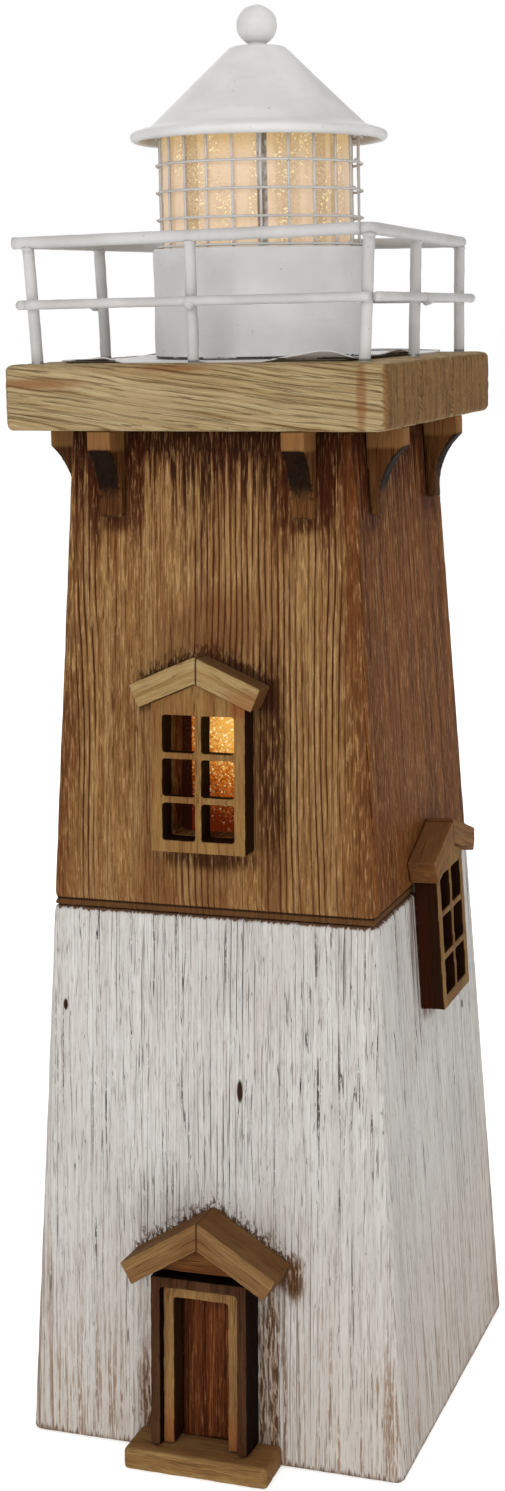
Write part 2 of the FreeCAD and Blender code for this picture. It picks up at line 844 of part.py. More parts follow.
def make_window_lamp():
    """Strip of three lamps on the inside of the back board, facing the front window."""
    inside = board_thickness * math.cos(math.radians(lean))
    strip = box(-strip_width / 2, strip_width / 2, inside, inside + strip_thickness, 0, strip_height)
    front = inside + strip_thickness
    for i in range(led_count):
        z = strip_height * (i + 0.5) / led_count
        led = Part.makeCylinder(led_radius, led_radius, V(0, front, z), V(0, 1, 0))
        dome = Part.makeSphere(led_radius, V(0, front + led_radius, z))
        strip = strip.fuse([led, dome])
    nodes["window_lamp"] = on_face(strip, 2, -strip_x, strip_bottom)


# ---------------------------------------------------------------- battery case and switch
def flange_box(grow, z0, z1):
    half = flange_half + grow
    return box(case_x - half, case_x + half, -flange_front - grow, flange_back + grow, z0, z1)


def bay_box(grow, z0, z1):
    half_x = bay_width / 2 + grow
    half_y = bay_length / 2 + grow
    return box(case_x - half_x, case_x + half_x, -half_y, half_y, z0, z1)


def switch_box(half_x, half_y, z0, z1, x=case_x):
    return box(x - half_x, x + half_x, -switch_front - half_y, -switch_front + half_y, z0, z1)


def lid_pin(radius, half):
    """Cylinder along the lid's hinge line."""
    hinge_y = -bay_length / 2 - lid_margin + lid_thickness / 2
    hinge_z = case_recess + lid_thickness / 2
    return Part.makeCylinder(radius, 2 * half, V(case_x - half, hinge_y, hinge_z), V(1, 0, 0))


def make_case():
    flange = flange_box(0, case_recess, flange_z)
    shell = bay_box(case_wall, case_recess, case_top)
    bay = bay_box(0, case_recess, bay_top)
    rebate = bay_box(lid_margin + run_gap, case_recess, ledge_z)
    pin_half = bay_width / 2 + lid_margin + lid_pin_length + run_gap
    pin_hole = lid_pin(lid_pin_radius + pin_gap, pin_half)
    slot_half = (knob_length + knob_travel) / 2 + run_gap
    slot = switch_box(slot_half, knob_width / 2 + run_gap, case_recess, flange_z)
    nodes["battery_case"] = cut_all(flange.fuse(shell), [bay, rebate, pin_hole, slot] + small_screws(pin_gap))


def make_lid():
    """The lid turns about the knuckle along its front edge and has a finger notch at the back."""
    plate = bay_box(lid_margin, case_recess, case_recess + lid_thickness)
    front = plate.BoundBox.YMin
    plate = plate.cut(box(case_x - bay_width, case_x + bay_width, front, front + lid_thickness / 2,
                          case_recess, case_recess + lid_thickness))
    lid_half = bay_width / 2 + lid_margin
    knuckle = lid_pin(lid_thickness / 2, lid_half)
    pins = lid_pin(lid_pin_radius, lid_half + lid_pin_length)
    notch = Part.makeCylinder(grip_radius, lid_thickness / 2, V(case_x, plate.BoundBox.YMax, case_recess))
    nodes["battery_lid"] = plate.fuse([knuckle, pins]).removeSplitter().cut(notch)


def make_cells():
    """Cells lie side by side, every other one turned round."""
    cells = []
    contacts = []
    axis_z = ledge_z + cell_radius + cell_rise
    half_y = bay_length / 2
    first_x = case_x - cell_pitch * (cell_count - 1) / 2
    spring_length = bay_length - 2 * contact_thickness - cell_length - cell_nub
    for i in range(cell_count):
        x = first_x + i * cell_pitch
        side = 1 if i % 2 == 0 else -1
        nub_end = side * (half_y - contact_thickness)
        body_end = nub_end - side * cell_nub
        forward = V(0, side, 0)
        shoulder = V(x, body_end, axis_z)
        body = Part.makeCylinder(cell_radius, cell_length, shoulder - forward * cell_length, forward)
        nub = Part.makeCylinder(cell_nub_radius, cell_nub, shoulder, forward)
        cells.append(body.fuse(nub))
        spring_end = shoulder - forward * (cell_length + spring_length)
        contacts.append(Part.makeCylinder(spring_radius, spring_length, spring_end, forward))
    for side in (-1, 1):
        y0 = side * half_y
        y1 = side * (half_y - contact_thickness)
        contacts.append(box(case_x - bay_width / 2, case_x + bay_width / 2, min(y0, y1), max(y0, y1),
                            axis_z - contact_height / 2, axis_z + contact_height / 2))
    nodes["battery_cells"] = Part.makeCompound(cells)
    nodes["battery_contacts"] = Part.makeCompound(contacts)


def make_switch():
    """Slide switch on the flange; the knob's foot runs inside it and its stem comes out below."""
    body = switch_box(switch_length / 2, switch_width / 2, flange_z, flange_z + switch_height)
    cavity_x = (knob_foot_length + knob_travel) / 2 + run_gap
    cavity_top = flange_z + knob_foot_height + 2 * run_gap
    cavity = switch_box(cavity_x, switch_width / 2 - switch_wall, flange_z, cavity_top)
    nodes["switch_body"] = body.cut(cavity)
    rest_x = case_x - knob_travel / 2
    foot_z = flange_z + run_gap
    foot = switch_box(knob_foot_length / 2, knob_foot_width / 2, foot_z, foot_z + knob_foot_height, rest_x)
    stem = switch_box(knob_length / 2, knob_width / 2, knob_recess, foot_z, rest_x)
    nodes["switch_knob"] = foot.fuse(stem).removeSplitter()


# ---------------------------------------------------------------- leads
def lead_top(z):
    """Where the lantern's lead passes the platform, through its middle plank."""
    return V(lantern_x, lantern_y + lead_hole_y, z)


def wall_point(x, z):
    """Centre of a lead that lies against the inside of the back board."""
    return V(x, inner_at(z) - lead_radius - seat_gap, z)


def lead_foot(x):
    """A lead rises from the case before it turns to the back board."""
    turn_z = case_top + lead_straight
    wall_z = turn_z + 2 * lead_straight
    return [V(x, lead_start_y, case_top), V(x, lead_start_y, turn_z), wall_point(x, wall_z)]


def make_leads():
    x = lantern_lead_x
    head = [wall_point(x, tower_height - 3 * lead_straight), lead_top(tower_height - lead_straight / 2),
            lead_top(drum_z - holder_boss_drop)]
    lantern = bent_rod(lead_radius, lead_foot(x) + head, lead_bend)
    x = strip_x
    window = bent_rod(lead_radius, lead_foot(x) + [wall_point(x, strip_bottom - 2 * seat_gap)], lead_bend)
    nodes["lamp_leads"] = Part.makeCompound([lantern, window])


def make_fasteners():
    nodes["wood_screws"] = Part.makeCompound(wood_screws())
    nodes["small_screws"] = Part.makeCompound(small_screws())


make_boards()
make_battens()
make_base()
make_platform()
make_corbels()
make_windows()
make_door()
make_deck()
make_drum()
make_posts()
make_top_rails()
make_mid_rails()
make_cage()
make_glass()
make_roof()
make_lantern_lamp()
make_window_lamp()
make_case()
make_lid()
make_cells()
make_switch()
make_leads()
make_fasteners()

os.makedirs("parts", exist_ok=True)
for node, shape in nodes.items():
    shape.exportStep("parts/%s.step" % node)
    print(node, len(shape.Solids), round(shape.Volume), shape.isValid())
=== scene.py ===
import math

import bmesh
import bpy
from mathutils import Matrix, Vector, noise


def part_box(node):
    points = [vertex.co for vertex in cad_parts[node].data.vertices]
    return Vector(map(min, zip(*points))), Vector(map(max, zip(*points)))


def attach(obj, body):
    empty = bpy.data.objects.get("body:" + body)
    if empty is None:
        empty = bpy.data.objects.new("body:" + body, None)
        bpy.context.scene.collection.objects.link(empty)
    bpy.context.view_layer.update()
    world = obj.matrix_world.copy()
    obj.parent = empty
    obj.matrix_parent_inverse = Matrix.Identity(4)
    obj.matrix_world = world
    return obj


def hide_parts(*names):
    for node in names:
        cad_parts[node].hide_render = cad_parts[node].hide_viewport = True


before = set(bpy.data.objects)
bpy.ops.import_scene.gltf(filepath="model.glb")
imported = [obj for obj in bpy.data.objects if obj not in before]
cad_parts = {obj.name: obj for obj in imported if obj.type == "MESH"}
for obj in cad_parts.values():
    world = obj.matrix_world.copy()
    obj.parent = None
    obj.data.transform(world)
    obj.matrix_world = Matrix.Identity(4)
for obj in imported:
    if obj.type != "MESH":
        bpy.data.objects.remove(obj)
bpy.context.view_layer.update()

# ------------------------------------------------------------ the studio
# The ornament stands on a plain pale floor before a white backdrop, under broad soft
# lamps. The camera stands to its right, at the height of the gallery, as in the photograph.
scene = bpy.context.scene
scene.view_settings.view_transform = "Standard"

yaw, pitch, roll = math.radians(17.44), math.radians(4.1), math.radians(-0.94)
ahead = Vector((-math.sin(yaw) * math.cos(pitch), math.cos(yaw) * math.cos(pitch), -math.sin(pitch)))
level = Vector((math.cos(yaw), math.sin(yaw), 0))
above = level.cross(ahead)
camera_right = level * math.cos(roll) + above * math.sin(roll)
camera_up = above * math.cos(roll) - level * math.sin(roll)
turn = Matrix((camera_right, camera_up, -ahead)).transposed()
camera = bpy.data.objects.new("camera", bpy.data.cameras.new("camera"))
camera.data.sensor_width = 36.0
camera.data.lens = 52.59
camera.data.shift_x = -0.0802
camera.data.shift_y = -0.1941
camera.matrix_world = Matrix.Translation((0.3611, -0.9737, 0.5214)) @ turn.to_4x4()
scene.collection.objects.link(camera)
scene.camera = camera


def soft_lamp(name, place, aim, size, power):
    lamp = bpy.data.lights.new(name, "AREA")
    lamp.shape = "DISK"
    lamp.size = size
    lamp.energy = power
    holder = bpy.data.objects.new(name, lamp)
    holder.location = place
    holder.rotation_euler = (Vector(aim) - Vector(place)).to_track_quat("-Z", "Y").to_euler()
    scene.collection.objects.link(holder)


soft_lamp("key_lamp", (-0.1, -2.35, 1.25), (0, 0, 0.32), 1.5, 25)
soft_lamp("side_lamp", (2.2, -0.7, 1.1), (0, 0, 0.35), 1.6, 9)
soft_lamp("back_lamp", (-1.0, 2.0, 1.6), (0, 0, 0.4), 1.6, 12)
soft_lamp("top_lamp", (0.3, -0.4, 2.6), (0, 0, 0.3), 1.8, 8)

fill_light = 0.56           # strength of the white surroundings, on the ornament and the floor
world = bpy.data.worlds.new("white studio")
world.use_nodes = True
backdrop = world.node_tree.nodes["Background"]
backdrop.inputs["Color"].default_value = (1, 1, 1, 1)
seen = world.node_tree.nodes.new("ShaderNodeLightPath")
share = world.node_tree.nodes.new("ShaderNodeMapRange")
share.inputs[3].default_value = fill_light
share.inputs[4].default_value = 1.0
world.node_tree.links.new(seen.outputs["Is Camera Ray"], share.inputs[0])
world.node_tree.links.new(share.outputs[0], backdrop.inputs["Strength"])
scene.world = world

mesh = bmesh.new()
bmesh.ops.create_grid(mesh, x_segments=1, y_segments=1, size=8.0)
floor = bpy.data.objects.new("floor", bpy.data.meshes.new("floor"))
mesh.to_mesh(floor.data)
mesh.free()
scene.collection.objects.link(floor)
floor_paint = bpy.data.materials.new("pale floor")
floor_paint.use_nodes = True
floor_shader = floor_paint.node_tree.nodes["Principled BSDF"]
floor_shader.inputs["Base Color"].default_value = (0.8, 0.8, 0.79, 1)
floor_shader.inputs["Roughness"].default_value = 0.95
floor_shader.inputs["Emission Color"].default_value = (1, 1, 1, 1)
floor_shader.inputs["Emission Strength"].default_value = fill_light
floor.data.materials.append(floor_paint)


# ------------------------------------------------------------ lower boards
# Four tapered pine boards, mitred at the corners and glued, painted with thin white
# wash. The paint has cracked along the grain, and brown wax lies in the cracks.
MM = 0.001


def tone(code):
    """Linear colour of a hexadecimal sRGB one."""
    parts = [int(code[i:i + 2], 16) / 255 for i in (0, 2, 4)]
    linear = [p / 12.92 if p <= 0.04045 else ((p + 0.055) / 1.055) ** 2.4 for p in parts]
    return (*linear, 1.0)


def new_material(name):
    """Material, its wiring and its shader."""
    material = bpy.data.materials.new(name)
    material.use_nodes = True
    return material, Wiring(material.node_tree), material.node_tree.nodes["Principled BSDF"]


class Wiring:
    """Adds nodes to a material or group. Each call returns the output of the node it adds."""

    def __init__(self, tree):
        self.tree = tree

    def plug(self, value, socket):
        """Puts a socket, a number, a vector or a colour's code into a socket."""
        if isinstance(value, bpy.types.NodeSocket):
            self.tree.links.new(value, socket)
        else:
            socket.default_value = tone(value) if isinstance(value, str) else value

    def add(self, kind, inputs=(), output=0, **settings):
        node = self.tree.nodes.new(kind)
        for key, value in settings.items():
            setattr(node, key, value)
        for key, value in dict(inputs).items():
            self.plug(value, node.inputs[key])
        return node.outputs[output]

    def group(self, group, **inputs):
        node = self.tree.nodes.new("ShaderNodeGroup")
        node.node_tree = group
        for key, value in inputs.items():
            self.plug(value, node.inputs[key])
        return node.outputs

    def vector(self, operation, a, b, output=0):
        return self.add("ShaderNodeVectorMath", {0: a, 1: b}, output, operation=operation)

    def math(self, operation, a, b=0.0):
        return self.add("ShaderNodeMath", {0: a, 1: b}, operation=operation)

    def times(self, a, b):
        return self.math("MULTIPLY", a, b)

    def plus(self, a, b):
        return self.math("ADD", a, b)

    def minus(self, a, b):
        return self.math("SUBTRACT", a, b)

    def apart(self, a, b):
        return self.math("ABSOLUTE", self.minus(a, b))

    def noise(self, place, scale=1.0, detail=3.0, rough=0.5, distortion=0.0):
        return self.add("ShaderNodeTexNoise", {"Vector": place, "Scale": scale, "Detail": detail,
                                               "Roughness": rough, "Distortion": distortion})

    def streaks(self, place, stretch, detail=3.0, rough=0.5):
        """Noise stretched along the axes, by how many features there are in a metre."""
        return self.noise(self.vector("MULTIPLY", place, stretch), 1.0, detail, rough)

    def between(self, value, low, high, bottom=0.0, top=1.0):
        """Smooth step of a value, from bottom at low to top at high."""
        return self.add("ShaderNodeMapRange", {0: value, 1: low, 2: high, 3: bottom, 4: top},
                        interpolation_type="SMOOTHSTEP")

    def mix(self, share, first, second):
        return self.add("ShaderNodeMix", {0: share, 6: first, 7: second}, 2, data_type="RGBA")

    def bump(self, height, strength, distance):
        return self.add("ShaderNodeBump", {"Strength": strength, "Distance": distance, "Height": height})

    def axis(self, place, name):
        return self.add("ShaderNodeSeparateXYZ", {0: place}, "XYZ".index(name))


def new_group(name, inputs, outputs):
    """Empty shader group: the group, its wiring, its inputs, and a way to set its outputs."""
    group = bpy.data.node_groups.new(name, "ShaderNodeTree")
    for key, kind in inputs.items():
        group.interface.new_socket(key, in_out="INPUT", socket_type="NodeSocket" + kind)
    for key in outputs:
        group.interface.new_socket(key, in_out="OUTPUT", socket_type="NodeSocketFloat")
    entry = group.nodes.new("NodeGroupInput")
    leave = group.nodes.new("NodeGroupOutput")

    def put(key, socket):
        group.links.new(socket, leave.inputs[key])
    return group, Wiring(group), entry.outputs, put


# grain: veins are long dark lines, fibres fine streaks, bands broad ones. Stretch says how
# many features there are in a metre along each axis: few along the grain.
grain_group, g, have, put = new_group(
    "sawn grain", {"Place": "Vector", "Stretch": "Vector", "Width": "Float", "Gate": "Float"},
    ("Vein", "Fibre", "Band", "Patch"))
run = g.vector("MULTIPLY", have["Place"], have["Stretch"])
line = g.noise(run, 1.0, 1.0, 0.4, 0.3)
near = g.apart(line, 0.5)
lie = g.noise(g.vector("ADD", g.vector("MULTIPLY", run, (0.9, 0.9, 0.9)), (11.0, 5.0, 7.0)), 1.0, 1.0)
open_here = g.between(lie, have["Gate"], g.plus(have["Gate"], 0.07))
put("Vein", g.times(g.between(near, have["Width"], g.times(have["Width"], 0.3)), open_here))
put("Fibre", g.streaks(run, (3.6, 3.6, 3.0), 4.0, 0.7))
put("Band", g.between(g.streaks(run, (0.33, 0.33, 0.5), 2.0), 0.36, 0.64))
put("Patch", g.between(g.noise(have["Place"], 24.0, 3.0, 0.55), 0.36, 0.64))

# worn edges and shaded corners: reads the value "edge" of a worn copy, above 0 on rubbed edges
# and below 0 in corners, and breaks it up. Rubbed edges are worn pale; the corners get dirt and
# painted shade in one
wear_and_shade_group, g, have, put = new_group(
    "worn edges and shaded corners", {"Place": "Vector", "Edge": "Float", "Amount": "Float"}, ("Rubbed", "Dirt and shade"))
crumbs = g.noise(have["Place"], 260.0, 4.0, 0.6)
raised = g.times(have["Edge"], have["Amount"])
put("Rubbed", g.between(g.plus(raised, g.times(crumbs, 0.5)), 0.38, 0.75))
put("Dirt and shade", g.between(g.minus(g.times(crumbs, 0.35), raised), 0.22, 0.6))

# drips: dark wax that ran down from a level, each run of its own length
drip_group, g, have, put = new_group(
    "drips", {"Place": "Vector", "Stretch": "Vector", "Level": "Float", "Length": "Float"}, ("Mask",))
hair = g.streaks(have["Place"], have["Stretch"], 4.0, 0.6)
length = g.times(have["Length"], g.math("MAXIMUM", g.between(hair, 0.34, 0.70), 0.06))
fall = g.minus(have["Level"], g.axis(have["Place"], "Z"))
put("Mask", g.between(g.math("DIVIDE", fall, length), 1.15, 0.35))

# gable fringe: wax brushed out in hairs along the top of two sloping boards
fringe_group, g, have, put = new_group(
    "gable fringe", {"Place": "Vector", "Stretch": "Vector", "Middle": "Float", "Apex": "Float",
                     "Slope": "Float", "Half": "Float", "Reach": "Float"}, ("Mask",))
aside = g.apart(g.axis(have["Place"], "X"), have["Middle"])
clear = g.plus(g.minus(g.axis(have["Place"], "Z"), have["Apex"]),
               g.times(aside, have["Slope"]))
hair = g.streaks(have["Place"], have["Stretch"], 4.0, 0.65)
reach = g.times(have["Reach"], g.math("MAXIMUM", g.between(hair, 0.30, 0.72), 0.12))
shown = g.times(g.between(clear, -0.016, -0.010),
               g.between(aside, g.plus(have["Half"], 0.003), g.minus(have["Half"], 0.001)))
put("Mask", g.times(g.between(g.math("DIVIDE", clear, reach), 1.15, 0.3), shown))


# combed grooves: thin lines side by side at a spacing, which wander and break off
comb_group, g, have, put = new_group(
    "combed grooves", {"Place": "Vector", "Across": "Float", "Spacing": "Float", "Wander": "Vector",
                       "Lie": "Vector", "Width": "Float", "Gate": "Float"}, ("Mask", "Swell"))
sway = g.streaks(have["Place"], have["Wander"], 2.0, 0.5)
turns = g.plus(g.math("DIVIDE", have["Across"], have["Spacing"]), g.times(sway, 4.0))
near = g.apart(g.math("FRACT", turns), 0.5)
lie = g.streaks(have["Place"], have["Lie"], 2.0, 0.55)
there = g.between(lie, have["Gate"], g.plus(have["Gate"], 0.08))
put("Mask", g.times(g.between(near, have["Width"], g.times(have["Width"], 0.35)), there))
put("Swell", g.between(near, 0.1, 0.5))


class Wood(Wiring):
    """Material of stained or painted wood, built up in layers as the real finish is."""

    def __init__(self, name, pale, rich, dark, stretch, width=0.05, gate=0.45, veins=0.8, fibre=0.4):
        self.material, wiring, self.shader = new_material(name)
        super().__init__(wiring.tree)
        self.place = self.add("ShaderNodeTexCoord", output="Object")
        self.stretch, self.width, self.gate = stretch, width, gate
        self.layers = pale, rich, dark, veins, fibre

    def zone(self, centre, reach, soft=0.5):
        """1 inside an ellipsoid given in millimetres, fading to 0 outside it."""
        offset = self.vector("SUBTRACT", self.place, [c * MM for c in centre])
        away = self.vector("DIVIDE", offset, [c * MM for c in reach])
        return self.between(self.vector("LENGTH", away, (0, 0, 0), "Value"), 1 + soft, 1 - soft)

    def crowd(self, mask, share, wider=0.0):
        """Puts more and wider veins where a mask is 1."""
        self.gate = self.minus(self.gate, self.times(mask, share))
        self.width = self.plus(self.width, self.times(mask, wider))

    def lay(self):
        """Lays the grain: its colour and its relief."""
        pale, rich, dark, veins, fibre = self.layers
        self.grain = self.group(grain_group, Place=self.place, Stretch=self.stretch, Width=self.width,
                                Gate=self.gate)
        colour = self.mix(self.grain["Band"], rich, pale)
        colour = self.mix(self.times(self.grain["Patch"], 0.35), colour, rich)
        low_fibre = self.between(self.grain["Fibre"], 0.62, 0.36)
        colour = self.mix(self.times(low_fibre, fibre), colour, dark)
        high_fibre = self.between(self.grain["Fibre"], 0.56, 0.78)
        colour = self.mix(self.times(high_fibre, fibre), colour, pale)
        self.colour = self.mix(self.times(self.grain["Vein"], veins), colour, dark)
        self.relief = self.minus(self.times(self.grain["Fibre"], 0.6), self.grain["Vein"])

    def stain(self, mask, code, strength=1.0):
        self.colour = self.mix(self.times(mask, strength), self.colour, code)

    def wax(self, mask, spread, low, high, code, strength, least=0.0):
        """Stain in a mask, broken up by a noise down to the share "least"."""
        self.stain(self.times(mask, self.between(spread, low, high, least, 1.0)), code, strength)

    def dent(self, mask, depth=1.0):
        self.relief = self.minus(self.relief, self.times(mask, depth))

    def value(self, name):
        return self.add("ShaderNodeAttribute", output="Fac", attribute_name=name)

    def facing(self, low, high):
        """Mask by how far the surface faces along the direction given for the worn copy."""
        return self.between(self.value("side"), low, high)

    def pores(self, stretch, dark, dark_share, pale, pale_share):
        """Short dark pores and pale flecks along the grain. Returns the noise behind them."""
        spread = self.streaks(self.place, stretch, 3.0, 0.65)
        pore = self.between(spread, 0.55, 0.66)
        self.stain(pore, dark, dark_share)
        self.stain(self.between(spread, 0.45, 0.34), pale, pale_share)
        self.dent(pore, 0.5)
        return spread

    def other_veins(self, shift, stretch, width, gate):
        """Veins of another grain, shifted away from the first."""
        return self.group(grain_group, Place=self.vector("ADD", self.place, shift), Stretch=stretch,
                          Width=width, Gate=gate)["Vein"]

    def comb(self, across, spacing, wander, lie, width, gate):
        return self.group(comb_group, Place=self.place, Across=across, Spacing=spacing, Wander=wander,
                          Lie=lie, Width=width, Gate=gate)

    def finish(self, depth=0.0008, rub="C9A877", rub_share=0.6, amount=1.0, dirt_and_shade="2A140A", dirt_and_shade_share=0.7,
               rough=0.6, strength=0.7):
        worn = self.group(wear_and_shade_group, Place=self.place, Edge=self.value("edge"), Amount=amount)
        # dirt and painted shade darken the corners and hollows
        self.stain(worn["Dirt and shade"], dirt_and_shade, dirt_and_shade_share)
        self.stain(worn["Rubbed"], rub, rub_share)
        self.plug(self.colour, self.shader.inputs["Base Color"])
        self.plug(self.between(self.grain["Fibre"], 0.2, 0.8, rough - 0.08, rough + 0.12),
                  self.shader.inputs["Roughness"])
        self.shader.inputs["Specular IOR Level"].default_value = 0.03
        self.plug(self.bump(self.relief, strength, depth), self.shader.inputs["Normal"])
        return self.material


def new_piece(name, bm, material, body, replaced=()):
    """Makes an object of a bmesh, in place, hangs it on the empty of the body that carries it, and hides the
    parts it replaces.
    """
    data = bpy.data.meshes.new(name)
    bm.to_mesh(data)
    bm.free()
    piece = bpy.data.objects.new(name, data)
    data.materials.append(material)
    scene.collection.objects.link(piece)
    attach(piece, body)
    if replaced:
        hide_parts(*replaced)
    return piece


def worn_copy(nodes, face, rubs, facing=None, kept=0.45):
    """Small even faces over the same space as some nodes, their edges rubbed a few times.

    The vertex value "edge" says how far an edge was rubbed, and "side" how far the surface
    faces along a direction. Only the share "kept" of the rubbing changes the shape.
    """
    bm = bmesh.new()
    for node in nodes:
        bm.from_mesh(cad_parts[node].data)
    bmesh.ops.remove_doubles(bm, verts=bm.verts, dist=1e-6)
    rough = bpy.data.objects.new("rough", bpy.data.meshes.new("rough"))
    bm.to_mesh(rough.data)
    bm.free()
    scene.collection.objects.link(rough)
    even = rough.modifiers.new("even faces", "REMESH")
    even.mode = "VOXEL"
    even.voxel_size = face
    done = bpy.data.meshes.new_from_object(rough.evaluated_get(bpy.context.evaluated_depsgraph_get()))
    bpy.data.objects.remove(rough)
    bm = bmesh.new()
    bm.from_mesh(done)
    before = [v.co.copy() for v in bm.verts]
    for _ in range(rubs):
        bmesh.ops.smooth_vert(bm, verts=bm.verts, factor=0.5, use_axis_x=True, use_axis_y=True, use_axis_z=True)
    bm.normal_update()
    edge = bm.verts.layers.float.new("edge")
    side = bm.verts.layers.float.new("side")
    for v, old in zip(bm.verts, before):
        v[edge] = (old - v.co).dot(v.normal) / face
        v[side] = v.normal.dot(Vector(facing)) if facing else 0.0
        v.co = old.lerp(v.co, kept)
    for f in bm.faces:
        f.smooth = True
    return bm


def sink(bm, depth, stretch, seed=0.0):
    """Lets the faces wave inward by up to a depth, along a stretched noise."""
    stretch = Vector(stretch)
    shift = Vector((seed, seed * 1.7, seed * 0.6))
    for v in bm.verts:
        wave = noise.fractal(v.co * stretch + shift, 1.0, 2.0, 3)
        v.co -= v.normal * depth * min(1.0, max(0.0, 0.45 + wave))


outward = {"front": Vector((0, -1, 0)), "right": Vector((1, 0, 0)),
           "back": Vector((0, 1, 0)), "left": Vector((-1, 0, 0))}


def sawn_at_mitres(four_boards, side):
    """One board of a worn copy of all four, sawn off at its two glued mitres."""
    board = four_boards.copy()
    out = outward[side]
    for turn in (-1, 1):
        past = Vector((-out.y, out.x, 0)) * turn - out
        everything = board.verts[:] + board.edges[:] + board.faces[:]
        bmesh.ops.bisect_plane(board, geom=everything, plane_co=(0, 0, 0), plane_no=past, clear_outer=True)
        bmesh.ops.holes_fill(board, edges=[e for e in board.edges if e.is_boundary])
    return board


def make_boards(level, depth, stretch, seed, paint, name):
    """Worn copies of four mitred boards, each with its own paint."""
    nodes = {side: "%s_board_%s" % (level, side) for side in outward}
    four_boards = worn_copy(nodes.values(), 0.0014, 2, kept=0.3)
    for number, side in enumerate(outward):
        sink(four_boards, depth, up_face(side)(*stretch), seed + number)
    for side in outward:
        new_piece(name + side, sawn_at_mitres(four_boards, side), paint(side), "tower", [nodes[side]])
    four_boards.free()


def up_face(side):
    """Makes the stretch of a grain that runs up one face of the tower."""
    if side in ("front", "back"):
        return lambda across, depth, along: (across, depth, along)
    return lambda across, depth, along: (depth, across, along)


def whitewash(side):
    up = up_face(side)
    wood = Wood("cracked whitewash " + side, "C6C3BF", "BBB7B3", "8E8780", up(520.0, 26.0, 9.0),
                0.018, 0.48, 0.45, 0.34)
    for centre, reach in (((14, -79, 226), (8, 20, 24)), ((63, -79, 222), (4, 20, 30)),
                          ((12, -84, 160), (8, 20, 30)), ((-22, -85, 100), (12, 20, 30)),
                          ((66, -80, 170), (5, 20, 30)), ((80, -50, 170), (20, 10, 50))):
        wood.crowd(wood.zone(centre, reach), 0.14)
    wood.lay()
    short = wood.other_veins((0.31, 0.23, 0.11), up(760.0, 60.0, 34.0), 0.024, 0.53)
    long = wood.other_veins((0.13, 0.33, 0.21), up(380.0, 14.0, 6.5), 0.015, wood.gate)
    dots = wood.streaks(wood.place, up(900.0, 90.0, 300.0), 2.0, 0.6)
    wood.stain(wood.grain["Vein"], "6E665E", 0.55)
    wood.stain(short, "3E342C", 0.7)
    wood.wax(long, dots, 0.32, 0.50, "1E1712", 0.95)
    specks = wood.pores(up(1000.0, 90.0, 130.0), "7C726A", 0.35, "D0CDCA", 0.3)
    wood.dent(short, 0.6)
    wood.dent(long, 0.9)

    # bundles of cracks side by side
    height = wood.axis(wood.place, "Z")
    along = wood.axis(wood.place, "X" if side in ("front", "back") else "Y")
    bundles = wood.comb(along, 0.0031, up(10.0, 4.0, 5.0), up(330.0, 20.0, 22.0), 0.11, 0.40)
    for centre, reach in (((14, -79, 224), (9, 20, 30)), ((65, -79, 220), (5, 20, 30)),
                          ((4, -82, 150), (12, 20, 34)), ((-24, -85, 105), (12, 20, 26)),
                          ((40, -86, 60), (10, 20, 50)), ((85, 30, 100), (30, 8, 50))):
        wood.stain(wood.times(bundles["Mask"], wood.zone(centre, reach, 0.4)), "241B15", 0.9)

    # bare wood, more of it low down, and brown edges at the foot and the seam
    cloud = wood.noise(wood.place, 20.0, 3.0)
    low = wood.between(wood.plus(height, wood.times(cloud, 0.10)), 0.18, 0.06)
    wood.stain(wood.between(cloud, 0.35, 0.65), "A8A29C", 0.2)
    wood.stain(low, "AFA294", 0.35)
    strands = wood.streaks(wood.place, up(560.0, 24.0, 13.0), 4.0, 0.65)
    bare = wood.between(strands, 0.50, 0.60)
    wood.stain(bare, "A08E7C", 0.14)
    worn_through = wood.times(bare, wood.between(specks, 0.36, 0.54))
    wood.stain(wood.times(worn_through, low), "7A5C42", 0.8)
    from_edge = wood.math("MINIMUM", wood.apart(wood.axis(wood.place, "X"), -0.088),
                          wood.apart(wood.axis(wood.place, "Y"), 0.087))
    aged = wood.times(wood.between(from_edge, 0.016, 0.003), wood.between(height, 0.13, 0.04))
    wood.wax(aged, strands, 0.42, 0.56, "6E4E34", 0.75)
    uneven = wood.minus(strands, 0.5)
    wood.stain(wood.between(wood.plus(height, wood.times(uneven, 0.0045)), 0.2446, 0.2452), "583A24", 0.95)
    wood.stain(wood.between(wood.plus(height, wood.times(uneven, 0.016)), 0.0034, 0.0006), "57402C", 0.85)
    for centre, reach in (((13.8, -79, 168), (1.4, 20, 5.2)), ((-71.6, -80, 200.5), (1.1, 20, 2.6)),
                          ((85, 50, 172), (20, 1.3, 2.2))):
        knot = wood.zone(centre, reach, 0.25)
        wood.stain(knot, "2E1D14")
        wood.dent(knot, 2.0)

    # wax round the door and under the right window
    if side == "front":
        fringe = wood.group(fringe_group, Place=wood.place, Stretch=(700.0, 30.0, 420.0), Middle=0.0013,
                            Apex=0.1130, Slope=0.594, Half=0.0385, Reach=0.012)["Mask"]
        wood.wax(fringe, specks, 0.30, 0.46, "452815", 0.95)
        about_door = wood.math("MAXIMUM", wood.zone((27.5, -88, 36), (7.5, 20, 60)),
                               wood.zone((-28, -88, 22), (8, 20, 26)))
        about_door = wood.math("MAXIMUM", about_door, wood.zone((40, -86, 86), (4, 20, 10)))
        smear = wood.times(about_door, wood.between(strands, 0.36, 0.48))
        wood.stain(smear, "8C6C50", 0.6)
        wood.wax(smear, specks, 0.42, 0.54, "43280F", 0.9)
    if side == "right":
        under = wood.math("MAXIMUM", wood.zone((79, -21.5, 226), (20, 8, 40)),
                          wood.zone((81, 4, 190), (20, 30, 6)))
        wood.wax(under, strands, 0.36, 0.56, "5A4030", 0.8)
    return wood.finish(0.0005, "A89C8C", 0.2, 1.0, "6E5844", 0.3, 0.66, 0.45)


